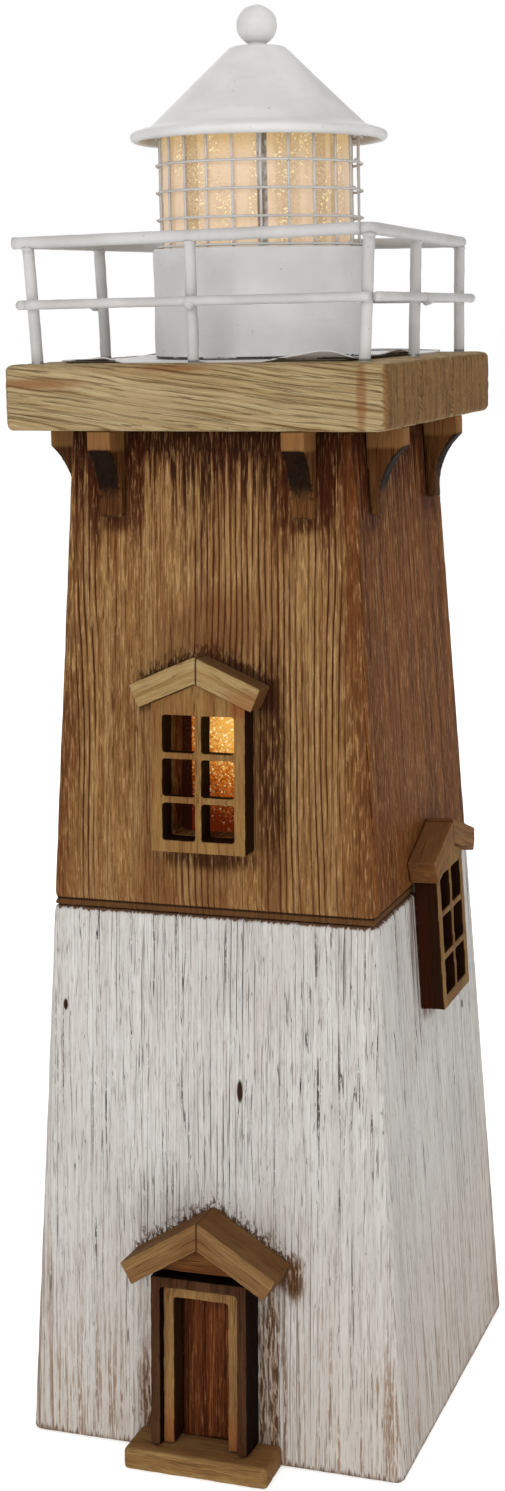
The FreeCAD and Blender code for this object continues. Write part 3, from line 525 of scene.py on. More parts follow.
make_boards("lower", 0.00008, (190.0, 20.0, 12.0), 0, whitewash, "whitewashed_board_")


# ------------------------------------------------------------ upper boards
# Four more boards over them, brushed so that the soft grain stands back, then stained
# golden brown. Dark wax was left in the grooves, under the platform and round the window,
# and painted shade darkens the wall beside the corbels and right of and below the window frame.
def golden_stain(side):
    up = up_face(side)
    golden = side in ("front", "back")
    if golden:
        wood = Wood("golden stained wood " + side, "9E7C50", "87623A", "552E13", up(620.0, 18.0, 9.0),
                    0.022, 0.49, 0.7, 0.65)
    else:
        wood = Wood("russet stained wood " + side, "845228", "6C3E1A", "241006", up(420.0, 18.0, 6.0),
                    0.034, 0.44, 0.8, 0.6)
    wood.lay()
    short = wood.other_veins((0.31, 0.23, 0.11), up(560.0, 30.0, 16.0), 0.022, 0.48)
    wood.stain(short, "4A2410", 0.7)
    wood.dent(short, 0.5)
    height = wood.axis(wood.place, "Z")
    flecks = wood.pores(up(1000.0, 90.0, 120.0), "5C3A1C", 0.5, "B89566", 0.45)
    if golden:
        along = wood.axis(wood.place, "X")
        grooves = wood.comb(along, 0.0029, up(16.0, 5.0, 7.0), up(340.0, 20.0, 14.0), 0.15, 0.37)
        for centre, reach in (((10, -70, 400), (21, 200, 75)), ((55, -70, 350), (9, 200, 130)),
                              ((-5, -70, 265), (12, 200, 22)), ((34, -70, 320), (11, 200, 90)),
                              ((-60, -70, 360), (6, 200, 120))):
            combed = wood.zone(centre, reach, 0.3)
            wood.stain(wood.times(combed, grooves["Swell"]), "A58358", 0.30)
            cut = wood.times(combed, grooves["Mask"])
            wood.stain(cut, "38190B", 0.95)
            wood.dent(cut, 1.5)
    red = wood.streaks(wood.place, up(60.0, 20.0, 7.0))
    wood.stain(wood.between(red, 0.50, 0.66), "65391C", 0.35)
    if golden:
        from_side = wood.plus(wood.math("ABSOLUTE", wood.axis(wood.place, "X")), wood.times(height, 0.077))
        reddened = wood.between(wood.plus(from_side, wood.times(red, 0.02)), 0.094, 0.108)
        wood.wax(reddened, flecks, 0.38, 0.54, "4E2812", 0.6)
        low_down = wood.times(wood.between(height, 0.30, 0.255), wood.between(red, 0.42, 0.58))
        wood.stain(low_down, "5E341A", 0.35)

    # wax under the platform, and painted shade beside and under the corbels
    for level, length, low, high, least, code, strength in (
            (0.454, 0.085, 0.40, 0.54, 0.35, "532A12", 0.7),
            (0.457, 0.050, 0.36, 0.52, 0.55, "2A1208", 0.92)):
        drips = wood.group(drip_group, Place=wood.place, Stretch=up(620.0, 24.0, 4.0), Level=level,
                           Length=length)["Mask"]
        wood.wax(drips, flecks, low, high, code, strength, least)
    for middle in (-45.7, 45.7):
        for aside, level, wide, tall in ((-9.5, 437, 4.5, 26), (9.5, 437, 5, 26), (0, 422.5, 7.5, 4.2)):
            centre, reach = (middle + aside, 0, level), (wide, 200, tall)
            if not golden:
                centre, reach = (0, middle + aside, level), (200, wide, tall)
            # painted shade of the corbels on the wall beside and under them
            beside = wood.zone(centre, reach)
            wood.wax(beside, flecks, 0.34, 0.52, "3A180A", 0.85, 0.3)
    if side == "front":
        corner_red = wood.between(wood.axis(wood.place, "X"), 0.060, 0.067)
        high_up = wood.between(wood.plus(height, wood.times(red, 0.08)), 0.35, 0.42)
        wood.stain(wood.times(corner_red, high_up), "5E3216", 0.6)
        fringe = wood.group(fringe_group, Place=wood.place, Stretch=(900.0, 30.0, 260.0), Middle=-0.00105,
                            Apex=0.3640, Slope=0.4245, Half=0.0325, Reach=0.012)["Mask"]
        wood.stain(fringe, "2A140A", 0.85)
        # painted shade on the wall right of and below the window frame
        window_frame_shade = wood.math("MAXIMUM", wood.zone((29.5, -70, 315), (7.5, 200, 48)),
                         wood.zone((0, -70, 272), (24, 200, 5)))
        wood.wax(window_frame_shade, flecks, 0.36, 0.54, "34180A", 0.85, 0.3)
        wood.stain(wood.zone((4, -70, 378), (26, 200, 15)), "5A2C14", 0.5)

    # the brown groove over the white boards, with a painted shadow line along its top
    band = wood.between(height, 0.2502, 0.2496)
    wood.stain(band, "573920", 0.95)
    # painted shadow along the top of the groove, under the edge of these boards
    wood.stain(wood.times(wood.between(height, 0.2484, 0.2492), band), "160B06", 0.85)
    return wood.finish(0.0010, "AC8C5C", 0.35, 0.8, "2A140A", 0.6, 0.56, 0.7)


make_boards("upper", 0.0001, (300.0, 20.0, 7.0), 5, golden_stain, "stained_board_")

# ------------------------------------------------------------ platform
# Three thick planks side by side, brushed hard so that the summer wood stands out in
# ridges, stained olive brown, with rounded edges and rough sawn ends. Painted shade lies
# along the ridges' grooves and a painted highlight on their swells.
wood = Wood("brushed plank", "AE9B76", "957D57", "664A2A", (12.0, 300.0, 620.0), 0.022, 0.48, 0.5, 0.5)
true_place = wood.place
slant = (0.0, math.radians(-8), 0.0)
wood.place = wood.add("ShaderNodeMapping", {"Vector": wood.place, "Rotation": slant})
wood.lay()
across = wood.plus(wood.axis(wood.place, "Z"), wood.times(wood.axis(wood.place, "Y"), 0.8))
ridges = wood.comb(across, 0.0027, (14.0, 30.0, 40.0), (26.0, 200.0, 330.0), 0.14, 0.47)
# painted highlight on the ridges' swells and painted shade along their grooves
wood.stain(ridges["Swell"], "BCA985", 0.25)
wood.stain(ridges["Mask"], "6A4C28", 0.5)
wood.dent(ridges["Mask"], 0.8)
wood.place = true_place
for centre, reach in (((-72, -90, 486.5), (20, 30, 2.2)), ((-8, -90, 493), (16, 30, 1.6)),
                      ((79, -89, 480), (2.2, 30, 16))):
    wood.stain(wood.zone(centre, reach), "7A4622", 0.6)
wood.stain(wood.zone((-25, -90, 475.5), (24, 30, 6)), "A08A68", 0.6)
ends = wood.facing(0.45, 0.85)
sawn = wood.streaks(wood.place, (30.0, 520.0, 40.0), 4.0, 0.65)
end_colour = wood.mix(wood.between(sawn, 0.30, 0.60), "5A3A1E", "82603A")
wood.colour = wood.mix(wood.times(ends, 0.9), wood.colour, end_colour)
slab_wood = wood.finish(0.0013, "BDAA82", 0.45, 0.7, "3A2818", 0.8, 0.6, 0.85)
for number, part in enumerate(("front", "middle", "back")):
    node = "platform_plank_" + part
    plank = worn_copy([node], 0.0013, 2, facing=(1, 0, 0), kept=0.3)
    side = plank.verts.layers.float["side"]
    for v in plank.verts:
        v[side] = abs(v[side])
    sink(plank, 0.0003, (16.0, 260.0, 330.0), 11 + number)
    new_piece(node + "_brushed", plank, slab_wood, "tower", [node])

# ------------------------------------------------------------ corbels
# Eight brackets sawn from thin board, with a straight nose over a hollow scoop, glued to
# the boards under the platform and stained dark brown. Painted shade makes the scoop's
# down-turned faces almost black.
wood = Wood("dark corbel wood", "6E4826", "4E2E16", "1A0C06", (420.0, 420.0, 26.0), 0.06, 0.45, 0.6, 0.45)
wood.lay()
height = wood.axis(wood.place, "Z")
nose = wood.between(height, 0.4545, 0.4570)
wood.stain(wood.times(nose, wood.facing(0.5, -0.2)), "8A623A", 0.75)
fade = wood.between(height, 0.424, 0.442, 0.45, 1.0)
# painted shade: faces turned down, in the scoop, almost black, strongest near the platform
wood.stain(wood.times(wood.facing(0.04, 0.30), fade), "0E0704", 0.93)
corbel_wood = wood.finish(0.0005, "A07C50", 0.6, 1.3, "120805", 0.8, 0.6, 0.6)
for side in outward:
    for hand in ("left", "right"):
        node = "corbel_%s_%s" % (side, hand)
        bracket = worn_copy([node], 0.0008, 2, facing=(0, 0, -1))
        sink(bracket, 0.0002, (200.0, 200.0, 40.0), len(side))
        new_piece(node + "_worn", bracket, corbel_wood, "tower", [node])

# ------------------------------------------------------------ windows
# Each frame is sawn from one board, its bars thinner than its rim, and glued on the wall
# under two mitred gable boards. The wood was stained brown and its edges rubbed pale, and
# painted shade darkens the frames' sides.
def lay_along_gable(wood, name, middle, slope):
    """Lays grain that follows the slope of two mitred gable boards, and their joint."""
    true_place = wood.place
    aside = wood.apart(wood.axis(true_place, name), middle)
    drop = wood.plus(wood.axis(true_place, "Z"), wood.times(aside, slope))
    depth = wood.axis(true_place, "Y" if name == "X" else "X")
    wood.place = wood.add("ShaderNodeCombineXYZ", {0: aside, 1: depth, 2: drop})
    wood.lay()
    wood.place = true_place
    wood.stain(wood.between(aside, 0.0006, 0.0003), "160A05", 0.85)


def small_wood(name, tones, stretch, stains, finish, gable=None, lines=(0.03, 0.5, 0.5, 0.4)):
    """Finish of a small piece. Each stain lies in a zone or on faces turned a certain way; on a frame or casing
    the latter is painted shade over a darker stain.
    """
    wood = Wood(name, *tones, stretch, *lines)
    if gable:
        lay_along_gable(wood, *gable)
    else:
        wood.lay()
    for *where, code, strength in stains:
        mask = wood.zone(*where) if isinstance(where[0], tuple) else wood.facing(*where)
        wood.stain(mask, code, strength)
    return wood.finish(*finish)


upright = (560.0, 560.0, 16.0)
sloping = (26.0, 300.0, 640.0)
window_gable_lines = (0.03, 0.5, 0.45, 0.4)
window_woods = {
    ("front", "frame"): small_wood(
        "front window frame wood", ("8C6C3F", "7A5631", "4A2812"), upright,
        (((-25.5, -80, 304), (3, 30, 6), "6E3014", 0.6), ((19.5, -80, 342), (5, 30, 4), "7A3A1C", 0.5),
         # faces turned away from the front: painted shade of the frame's sides over a darker stain
         (0.65, 0.2, "160803", 0.96)), (0.0005, "B49868", 0.7, 1.3, "1E0D06", 0.6)),
    ("front", "gable"): small_wood(
        "front window gable wood", ("A18A60", "8E7348", "5A3A1E"), sloping,
        (((22, -90, 345), (10, 20, 6), "7A4A28", 0.55), (0.6, 0.1, "4E2C16", 0.8)),
        (0.0005, "C4AE80", 0.6, 1.2, "241208", 0.75), ("X", -0.00105, 0.4245), window_gable_lines),
    ("right", "gable"): small_wood(
        "right window gable wood", ("86633C", "6E4A28", "34190B"), sloping,
        ((0.6, 0.1, "5E381E", 0.6), ((83, -31, 258), (20, 3, 6), "2A150B", 0.8)),
        (0.0005, "A8885A", 0.6, 1.2, "1E0D06", 0.75), ("Y", 0.0046, 0.364), window_gable_lines),
}
wood = Wood("right window frame wood", "86683E", "6E4E2A", "2A1207", upright, 0.03, 0.5, 0.5, 0.4)
wood.lay()
# faces not turned outward almost black, deeper still low on the left: painted shade of the frame's sides over a
# darker stain
wood.stain(wood.facing(0.75, 0.3), "1C0803", 0.96)
wood.stain(wood.times(wood.facing(0.4, 0.1), wood.zone((80, -24, 205), (6, 20, 50))), "34130A", 0.6)
window_woods["right", "frame"] = wood.finish(0.0005, "B09668", 0.7, 1.2, "1E0C05", 0.6)
for side in ("front", "right"):
    for part, face in (("frame", 0.0006), ("gable", 0.0007)):
        node = "%s_window_%s" % (side, part)
        piece = worn_copy([node], face, 2, facing=outward[side], kept=0.3)
        sink(piece, 0.00015, (160.0, 160.0, 160.0), len(part))
        new_piece(node + "_worn", piece, window_woods[side, part], "tower", [node])

# Behind each opening a sheet of amber film with coarse glitter is glued inside the wall.
# The front one glows with painted light, as if the lamp strip lit it from behind, brightest at
# its top right, with painted glints on the glitter; the right one is painted almost black, as
# painted shade.
glitter_group, g, have, put = new_group(
    "glitter", {"Place": "Vector", "Size": "Float"}, ("Flake", "Glint", "Relief"))
cell = g.add("ShaderNodeTexVoronoi", {"Vector": have["Place"], "Scale": have["Size"]}, "Color")
put("Flake", g.axis(cell, "X"))
put("Glint", g.between(g.axis(cell, "Y"), 0.80, 0.97))
put("Relief", g.add("ShaderNodeTexVoronoi", {"Vector": have["Place"], "Scale": have["Size"]}, "Distance"))


def glitter_film(node, dim, middle, lit, glint, centre, reach, glow):
    film = Wood(node, dim, middle, lit, (1, 1, 1))
    glitter = film.group(glitter_group, Place=film.place, Size=1300.0)
    away = film.vector("DIVIDE", film.vector("SUBTRACT", film.place, centre), reach)
    far = film.vector("LENGTH", away, (0, 0, 0), "Value")
    # painted light: a pool of glow round the centre, with painted glints on some flakes
    light = film.between(film.plus(far, film.times(glitter["Flake"], 0.5)), 2.3, 0.25)
    colour = film.mix(film.between(light, 0.0, 0.5), dim, middle)
    colour = film.mix(film.between(light, 0.4, 1.0), colour, lit)
    colour = film.mix(film.times(glitter["Glint"], light), colour, glint)
    lit_edge = centre[0] - reach[0] * 1.14
    lit_part = film.between(film.axis(film.place, "X"), lit_edge, lit_edge + reach[0] * 0.02)
    film.plug(film.mix(0.9, colour, "000000"), film.shader.inputs["Base Color"])
    # the glow is an emission on the film, though the film is no lamp
    film.plug(film.mix(lit_part, "1A0603", colour), film.shader.inputs["Emission Color"])
    film.shader.inputs["Emission Strength"].default_value = glow
    film.shader.inputs["Roughness"].default_value = 0.6
    film.shader.inputs["Specular IOR Level"].default_value = 0.05
    film.plug(film.bump(glitter["Relief"], 0.3, 0.0002), film.shader.inputs["Normal"])
    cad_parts[node].data.materials.clear()
    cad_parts[node].data.materials.append(film.material)


# painted light: the front film glows, brightest round a point at its top right
glitter_film("front_window_film", "4E1503", "A85410", "EFB050", "FFF0B0", (0.008, -0.06, 0.332),
             (0.020, 0.05, 0.026), 1.0)
# the right film painted almost black: painted shade of an unlit window
glitter_film("right_window_film", "0E0402", "160603", "1C0803", "3A1A0A", (0.06, 0.0, 0.22),
             (0.02, 0.02, 0.03), 0.0)

# ------------------------------------------------------------ door
# A leaf in a double frame under two mitred gable boards, with a triangular board between
# them and a sawn step in front. All are glued on and stained from yellow to red brown, and
# painted shade darkens the sides of the casing and the frame.
door_woods = {"door_casing": small_wood(
    # faces turned away from the front: painted shade of the casing's sides over a darker stain
    "door casing wood", ("4E3320", "3C2414", "1C0E07"), upright, ((0.8, 0.35, "0E0603", 0.96),),
    (0.0005, "7E6040", 0.5, 1.2, "120805", 0.7), lines=(0.03, 0.5, 0.6, 0.4))}
wood = Wood("door frame wood", "8C6C42", "7A5A38", "4A2A12", upright, 0.03, 0.5, 0.5, 0.4)
wood.lay()
wood.stain(wood.between(wood.axis(wood.place, "Z"), 0.040, 0.014), "7A3E1E", 0.6)
# faces turned away from the front: painted shade of the frame's sides over a darker stain
wood.stain(wood.facing(0.65, 0.2), "1A0A04", 0.9)
door_woods["door_frame"] = wood.finish(0.0005, "AC9260", 0.6, 1.2, "1E0D06", 0.6)
wood = Wood("door leaf wood", "76411F", "562C15", "240C05", (760.0, 60.0, 12.0), 0.04, 0.44, 0.7, 0.7)
wood.lay()
wood.pores((900.0, 90.0, 90.0), "3A190B", 0.5, "94603A", 0.4)
wood.stain(wood.between(wood.axis(wood.place, "X"), -0.006, -0.0145), "2A0F06", 0.75)
wood.stain(wood.between(wood.axis(wood.place, "Z"), 0.066, 0.084), "2A1206", 0.6)
wood.stain(wood.zone((4, -80, 10.5), (7, 20, 1.2)), "0C0503", 0.9)
door_woods["door_leaf"] = wood.finish(0.0006, "8A5A38", 0.4, 0.8, "190A05", 0.75)
door_woods["door_tympanum"] = small_wood(
    "tympanum wood", ("6E4826", "5C361C", "2A130A"), sloping, (((16, -90, 83), (14, 20, 6), "5A2414", 0.6),),
    (0.0005, "8E6E48", 0.4, 1.0, "190A05", 0.8))
door_woods["door_gable"] = small_wood(
    "door gable wood", ("8C6F47", "785836", "402410"), sloping,
    (((-2, -90, 108), (12, 20, 10), "5E381F", 0.5), (0.6, 0.1, "54351D", 0.6)),
    (0.0006, "B09468", 0.6, 1.2, "1C0D07", 0.75), ("X", 0.0013, 0.594), (0.03, 0.48, 0.5, 0.45))
door_woods["doorstep"] = small_wood(
    "doorstep wood", ("94764A", "7E5E38", "482A14"), (30.0, 420.0, 620.0), ((0.6, 0.1, "6A4628", 0.6),),
    (0.0006, "BC9E6C", 0.6, 1.3, "241208", 0.75), lines=(0.03, 0.48, 0.5, 0.45))
for number, (node, wood) in enumerate(door_woods.items()):
    piece = worn_copy([node], 0.0007, 2, facing=(0, -1, 0), kept=0.4)
    sink(piece, 0.0002, (120.0, 200.0, 200.0), 20 + number)
    new_piece(node + "_worn", piece, wood, "tower", [node])

# ------------------------------------------------------------ painted metal
# Deck plate, drum, railing, wire cage, roof and ball are steel, brush painted off-white.
# The paint is a little uneven, with a few small rusty specks. Painted shade darkens a broken
# band at the drum's foot, the posts' feet and the cage's top, and railing and cage get
# darker, shaded copies of the paint.
def painted_metal(name, shade, light, painted_shade_low, painted_shade_high, painted_shade_colour, softness, amount):
    """Off-white paint, with painted shade in a broken band between two heights."""
    material, w, shader = new_material(name)
    place = w.add("ShaderNodeTexCoord", output="Object")
    cloud = w.noise(place, 32.0, 4.0, 0.55)
    strokes = w.streaks(place, (60.0, 60.0, 420.0), 4.0, 0.6)
    paint = w.mix(w.between(cloud, 0.35, 0.65), shade, light)
    paint = w.mix(w.times(w.between(strokes, 0.55, 0.75), 0.25), paint, "B4B0AD")
    speck = w.between(w.noise(place, 420.0, 2.0, 0.5), 0.735, 0.765)
    paint = w.mix(w.times(speck, 0.6), paint, "8A6A55")
    height = w.axis(place, "Z")
    band = w.times(w.between(height, painted_shade_low - softness, painted_shade_low + softness),
                   w.between(height, painted_shade_high + softness, painted_shade_high - softness))
    broken = w.between(w.streaks(place, (90.0, 90.0, 20.0), 3.0, 0.6), 0.40, 0.46)
    paint = w.mix(w.times(w.times(band, broken), amount), paint, painted_shade_colour)
    w.plug(paint, shader.inputs["Base Color"])
    w.plug(w.between(cloud, 0.3, 0.7, 0.42, 0.6), shader.inputs["Roughness"])
    bumps = w.plus(w.noise(place, 160.0, 4.0, 0.6), w.times(strokes, 0.25))
    w.plug(w.bump(bumps, 0.35, 0.0006), shader.inputs["Normal"])
    return material


drum_low, drum_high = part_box("drum")
# painted shade: a dark broken line at the drum's foot, where it meets the deck
metal_paint = painted_metal("off-white metal paint", "C2C0BE", "CDCCCB", drum_low.z + 0.0001,
                            drum_low.z + 0.0009, "1E1612", 0.0001, 0.95)

platform_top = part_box("platform_plank_front")[1].z
deck_low, deck_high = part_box("deck_plate")
axis = Vector(((drum_low.x + drum_high.x) / 2, (drum_low.y + drum_high.y) / 2, 0))


def turned_piece(profile, steps, centre=axis):
    """Solid of revolution about a vertical axis from (radius, height) points in millimetres."""
    bm = bmesh.new()
    ring = [bm.verts.new(centre + Vector((r * MM, 0, z * MM))) for r, z in profile]
    edges = [bm.edges.new(pair) for pair in zip(ring, ring[1:])]
    if profile[0][0] > 0 and profile[-1][0] > 0:
        edges.append(bm.edges.new((ring[-1], ring[0])))
    bmesh.ops.spin(bm, geom=ring + edges, cent=centre, axis=(0, 0, 1), angle=math.tau, steps=steps,
                   use_merge=True)
    bmesh.ops.remove_doubles(bm, verts=bm.verts, dist=1e-6)
    bmesh.ops.recalc_face_normals(bm, faces=bm.faces)
    for f in bm.faces:
        f.smooth = True
    return bm


def crisp(piece, angle=35):
    """Keeps edges sharper than an angle sharp, so that smooth faces shade well."""
    bm = bmesh.new()
    bm.from_mesh(piece.data)
    for e in bm.edges:
        if len(e.link_faces) == 2 and e.calc_face_angle() > math.radians(angle):
            e.smooth = False
    bm.to_mesh(piece.data)
    bm.free()


# The deck plate is thin sheet, cut by hand: its edges have curled up a little, most of
# all at three places along the front and the right edge.
plate = bmesh.new()
bmesh.ops.create_grid(plate, x_segments=60, y_segments=60, size=1.0)
half_x = (deck_high.x - deck_low.x) / 2
half_y = (deck_high.y - deck_low.y) / 2
curled_from = 0.86          # share of the way from the middle to an edge where it starts
for v in plate.verts:
    lift = max(0.0, (max(abs(v.co.x), abs(v.co.y)) - curled_from) / (1 - curled_from)) ** 2
    curl = max(0.0, noise.noise(Vector((v.co.x * 1.6, v.co.y * 1.6, 4.2))) + 0.15)
    for x, y, reach, rise in ((-0.70, -1.0, 0.09, 0.35), (0.84, -1.0, 0.16, 0.55), (1.0, -0.62, 0.16, 0.4)):
        curl += rise * math.exp(-((v.co.x - x) ** 2 + (v.co.y - y) ** 2) / reach ** 2)
    v.co = Vector((v.co.x * half_x, v.co.y * half_y, deck_high.z - 0.0004 + lift * min(curl, 1.0) * 0.0045))
bmesh.ops.solidify(plate, geom=plate.faces, thickness=0.0006)
bmesh.ops.recalc_face_normals(plate, faces=plate.faces)
new_piece("deck_sheet", plate, metal_paint, "tower", ["deck_plate"])

# The drum is a tin with turned-in flanges, a little dented.
r, low, high = (drum_high.x - drum_low.x) * 500, drum_low.z * 1000, drum_high.z * 1000
flange, sheet, fold = 13.2, 1.2, 0.8       # inward reach of the flanges, thickness, rounding
heights = [low + 0.6] + [low + (high - low) * i / 24 for i in range(1, 24)] + [high - 0.6]
drum = turned_piece([(r - flange, low), (r - fold, low)] + [(r, z) for z in heights]
                    + [(r - fold, high), (r - flange, high), (r - flange, high - sheet),
                       (r - sheet, high - sheet), (r - sheet, low + sheet), (r - flange, low + sheet)], 128)
for v in drum.verts:
    out = v.co - axis
    if Vector((out.x, out.y)).length * 1000 > r - 2:
        dent = noise.fractal(v.co * Vector((26, 26, 40)), 1.0, 2.0, 3)
        v.co -= Vector((out.x, out.y, 0)).normalized() * 0.0006 * max(0.0, dent + 0.3)
crisp(new_piece("drum_wall", drum, metal_paint, "tower", ["drum"]))


# ------------------------------------------------------------ railing
# Steel rods, welded by hand: eight posts, a top rail round them and a thinner middle rail
# outside them. Each weld left a small lump, and the front rail stops short at the corner.
def rod(bm, points, radius, wobble=0.00012, rings=0.004, sides=20):
    """Rod along a run of points, with rounded ends and a slightly uneven surface."""
    curve = bpy.data.curves.new("rod", "CURVE")
    curve.dimensions = "3D"
    curve.bevel_depth = radius
    curve.bevel_resolution = sides // 4
    curve.use_fill_caps = True
    line = curve.splines.new("POLY")
    stations = []
    for a, b in zip(points, points[1:]):
        count = max(1, round((b - a).length / rings))
        stations += [a.lerp(b, i / count) for i in range(count)]
    stations.append(points[-1])
    line.points.add(len(stations) - 1)
    for point, station in zip(line.points, stations):
        spot = station * 60
        sway = Vector((noise.noise(spot), noise.noise(spot + Vector((9, 9, 9))), 0)) * wobble * 2
        point.co = (station + sway).to_4d()
    holder = bpy.data.objects.new("rod", curve)
    scene.collection.objects.link(holder)
    made = bpy.data.meshes.new_from_object(holder.evaluated_get(bpy.context.evaluated_depsgraph_get()))
    bpy.data.objects.remove(holder)
    start = len(bm.verts)
    bm.from_mesh(made)
    bm.verts.ensure_lookup_table()
    new = bm.verts[start:]
    bmesh.ops.remove_doubles(bm, verts=new, dist=1e-6)
    rims = [e for e in bm.edges
            if len(e.link_faces) == 2 and any(len(f.verts) > 5 for f in e.link_faces)]
    if rims:
        bmesh.ops.bevel(bm, geom=rims, offset=radius * 0.35, offset_type="OFFSET", segments=3, profile=0.5,
                        affect="EDGES", material=-1)


def lump(bm, centre, size, seed=0.0):
    """Weld lump: a ball squeezed and pushed about."""
    made = bmesh.ops.create_icosphere(bm, subdivisions=3, radius=1.0)["verts"]
    for v in made:
        push = 1 + 0.18 * noise.noise(v.co * 1.6 + Vector((seed, seed, seed)))
        v.co = Vector(centre) + Vector([c * s for c, s in zip(v.co * push, size)])


def finish_rods(bm):
    bmesh.ops.recalc_face_normals(bm, faces=bm.faces)
    bm.normal_update()
    for v in bm.verts:
        v.co -= v.normal * 0.00014 * (1 + noise.noise(v.co * 260))
    for f in bm.faces:
        f.smooth = True
    return bm


# darker, shaded copy of the paint for the railing, with painted shade at the posts' feet
shaded_rail_paint = painted_metal("shaded railing paint", "AAA7A5", "B9B7B5", platform_top, platform_top + 0.0012,
                           "2A211B", 0.0004, 0.7)


def painted_rods(name, bm, replaced=()):
    new_piece(name, finish_rods(bm), shaded_rail_paint, "tower", replaced)


post_radius, top_radius, mid_radius = 0.00275, 0.0029, 0.00235
top_rise, mid_rise = 55.2, 27.0     # the rails' middles above the platform, in millimetres
# each post: x and y of its foot and of its head, and how much higher than usual its head is
posts = {"front_left": (-78.0, -77.3, -79.5, -81.7, -0.8), "front_middle": (-2.5, -77.3, -1.5, -81.7, 0.5),
         "front_right": (76.6, -77.3, 81.3, -81.7, 1.9), "right_middle": (77.3, -3.7, 79.4, -3.9, 0.6),
         "back_right": (77.3, 77.3, 78.2, 77.0, -0.8), "back_middle": (0.0, 77.3, 0.0, 80.0, -0.4),
         "back_left": (-77.3, 77.3, -79.8, 80.0, 0.0), "left_middle": (-77.3, -4.5, -79.8, -4.3, -0.4)}
post_ends = {}
uprights = bmesh.new()
for name, (x0, y0, x1, y1, higher) in posts.items():
    foot = Vector((x0 * MM, y0 * MM, platform_top))
    head = Vector((x1 * MM, y1 * MM, platform_top + (top_rise + higher) * MM))
    rod(uprights, [foot - Vector((0, 0, 0.006)), head - Vector((0, 0, 0.0024))], post_radius)
    post_ends[name] = (foot, head)
painted_rods("railing_uprights", uprights, ["railing_posts"])

top = {name: ends[1] for name, ends in post_ends.items()}
corner = top["front_right"] + Vector((0.001, 0, 0))
rails = {
    "front": [top["front_left"] - Vector((0.0073, 0, 0)), corner - Vector((0.0046, 0, 0))],
    "right": [corner - Vector((0.0043, 0, 0)), corner - Vector((0.0022, 0, 0)),
              corner + Vector((-0.0006, 0.0007, 0)), corner + Vector((0, 0.0028, 0)),
              top["back_right"] + Vector((0, 0.0034, 0))],
    "back": [top["back_right"] - Vector((0.003, 0, 0)), top["back_left"] - Vector((0.0034, 0, 0))],
    "left": [top["front_left"] + Vector((0, 0.003, 0)), top["back_left"] - Vector((0, 0.003, 0))],
}
for side, points in rails.items():
    rail = bmesh.new()
    rod(rail, points, top_radius)
    painted_rods("top_rail_%s_rod" % side, rail, ["top_rail_" + side])


def beside_post(name, side):
    """Point on the middle rail, outside a post."""
    foot, head = post_ends[name]
    return foot.lerp(head, mid_rise / top_rise) + outward[side] * 0.00515


corners = ("front_left", "front_right", "back_right", "back_left")
for number, side in enumerate(outward):
    first, middle, last = (beside_post(name, side) for name in
                           (corners[number], side + "_middle", corners[(number + 1) % 4]))
    rail = bmesh.new()
    rod(rail, [first - (middle - first).normalized() * 0.0015, middle], mid_radius)
    rod(rail, [middle, last + (last - middle).normalized() * 0.0032], mid_radius)
    lump(rail, middle + Vector((0.001, 0, -0.0012)), (0.0031, 0.0029, 0.0028), number)
    painted_rods("mid_rail_%s_rod" % side, rail, ["mid_rail_" + side])

welds = bmesh.new()
for number, name in enumerate(posts):
    lump(welds, top[name] - Vector((0, 0, 0.0029)), (0.0031, 0.0031, 0.0016), number * 3.1)
painted_rods("weld_lumps", welds)

# ------------------------------------------------------------ wire cage
# Half-inch welded mesh, cut to five rings high and rolled round the glass. The rings lie
# outside the uprights, and their cut ends hook round one upright at the right.
mesh_pitch, wire_radius = 0.0127, 0.000625
upright_count = 23
ring_z = [drum_high.z + 0.001 + mesh_pitch * i for i in range(5)]
cage_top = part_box("wire_cage")[1].z


def outwards(angle):
    return Vector((math.cos(angle), math.sin(angle), 0))


turns = [math.radians(9) + math.tau * i / upright_count for i in range(upright_count)]
cage = bmesh.new()
for angle in turns:
    foot = axis + outwards(angle) * 0.0472
    ends = [foot + Vector((0, 0, drum_high.z)), foot + Vector((0, 0, cage_top))]
    rod(cage, ends, wire_radius, 0.0001, 0.006, 8)
for z in ring_z:
    points = []
    for i in range(97):
        angle = math.tau * i / 96 - 0.1
        wavy = 0.04847 + 0.0002 * math.sin(upright_count * angle)
        points.append(axis + outwards(angle) * wavy + Vector((0, 0, z)))
    rod(cage, points, wire_radius, 0.00005, 0.0034, 8)
for angle in turns:
    for z in ring_z:
        weld = axis + outwards(angle) * 0.0478 + Vector((0, 0, z))
        bmesh.ops.create_icosphere(cage, subdivisions=1, radius=0.00085, matrix=Matrix.Translation(weld))
for number, z in enumerate(ring_z):
    out = outwards(math.radians(-14 + 3 * number))
    side = Vector((-out.y, out.x, 0))
    base = axis + out * 0.0486 + Vector((0, 0, z))
    hook = [base - side * 0.004, base + out * 0.0007 - side * 0.001,
            base + out * 0.0016 + Vector((0, 0, 0.0006)), base + side * 0.0012 + Vector((0, 0, 0.001))]
    rod(cage, hook, 0.0006, 0.0, 0.001, 8)
bmesh.ops.recalc_face_normals(cage, faces=cage.faces)
for f in cage.faces:
    f.smooth = True
# darker, shaded copy of the paint for the cage, with painted shade at the wires' tops under the roof
shaded_cage_paint = painted_metal("shaded cage paint", "B0ACA8", "BDBAB7", cage_top - 0.006, cage_top + 0.004,
                           "3A322C", 0.004, 0.9)
new_piece("cage_wires", cage, shaded_cage_paint, "tower", ["wire_cage"])

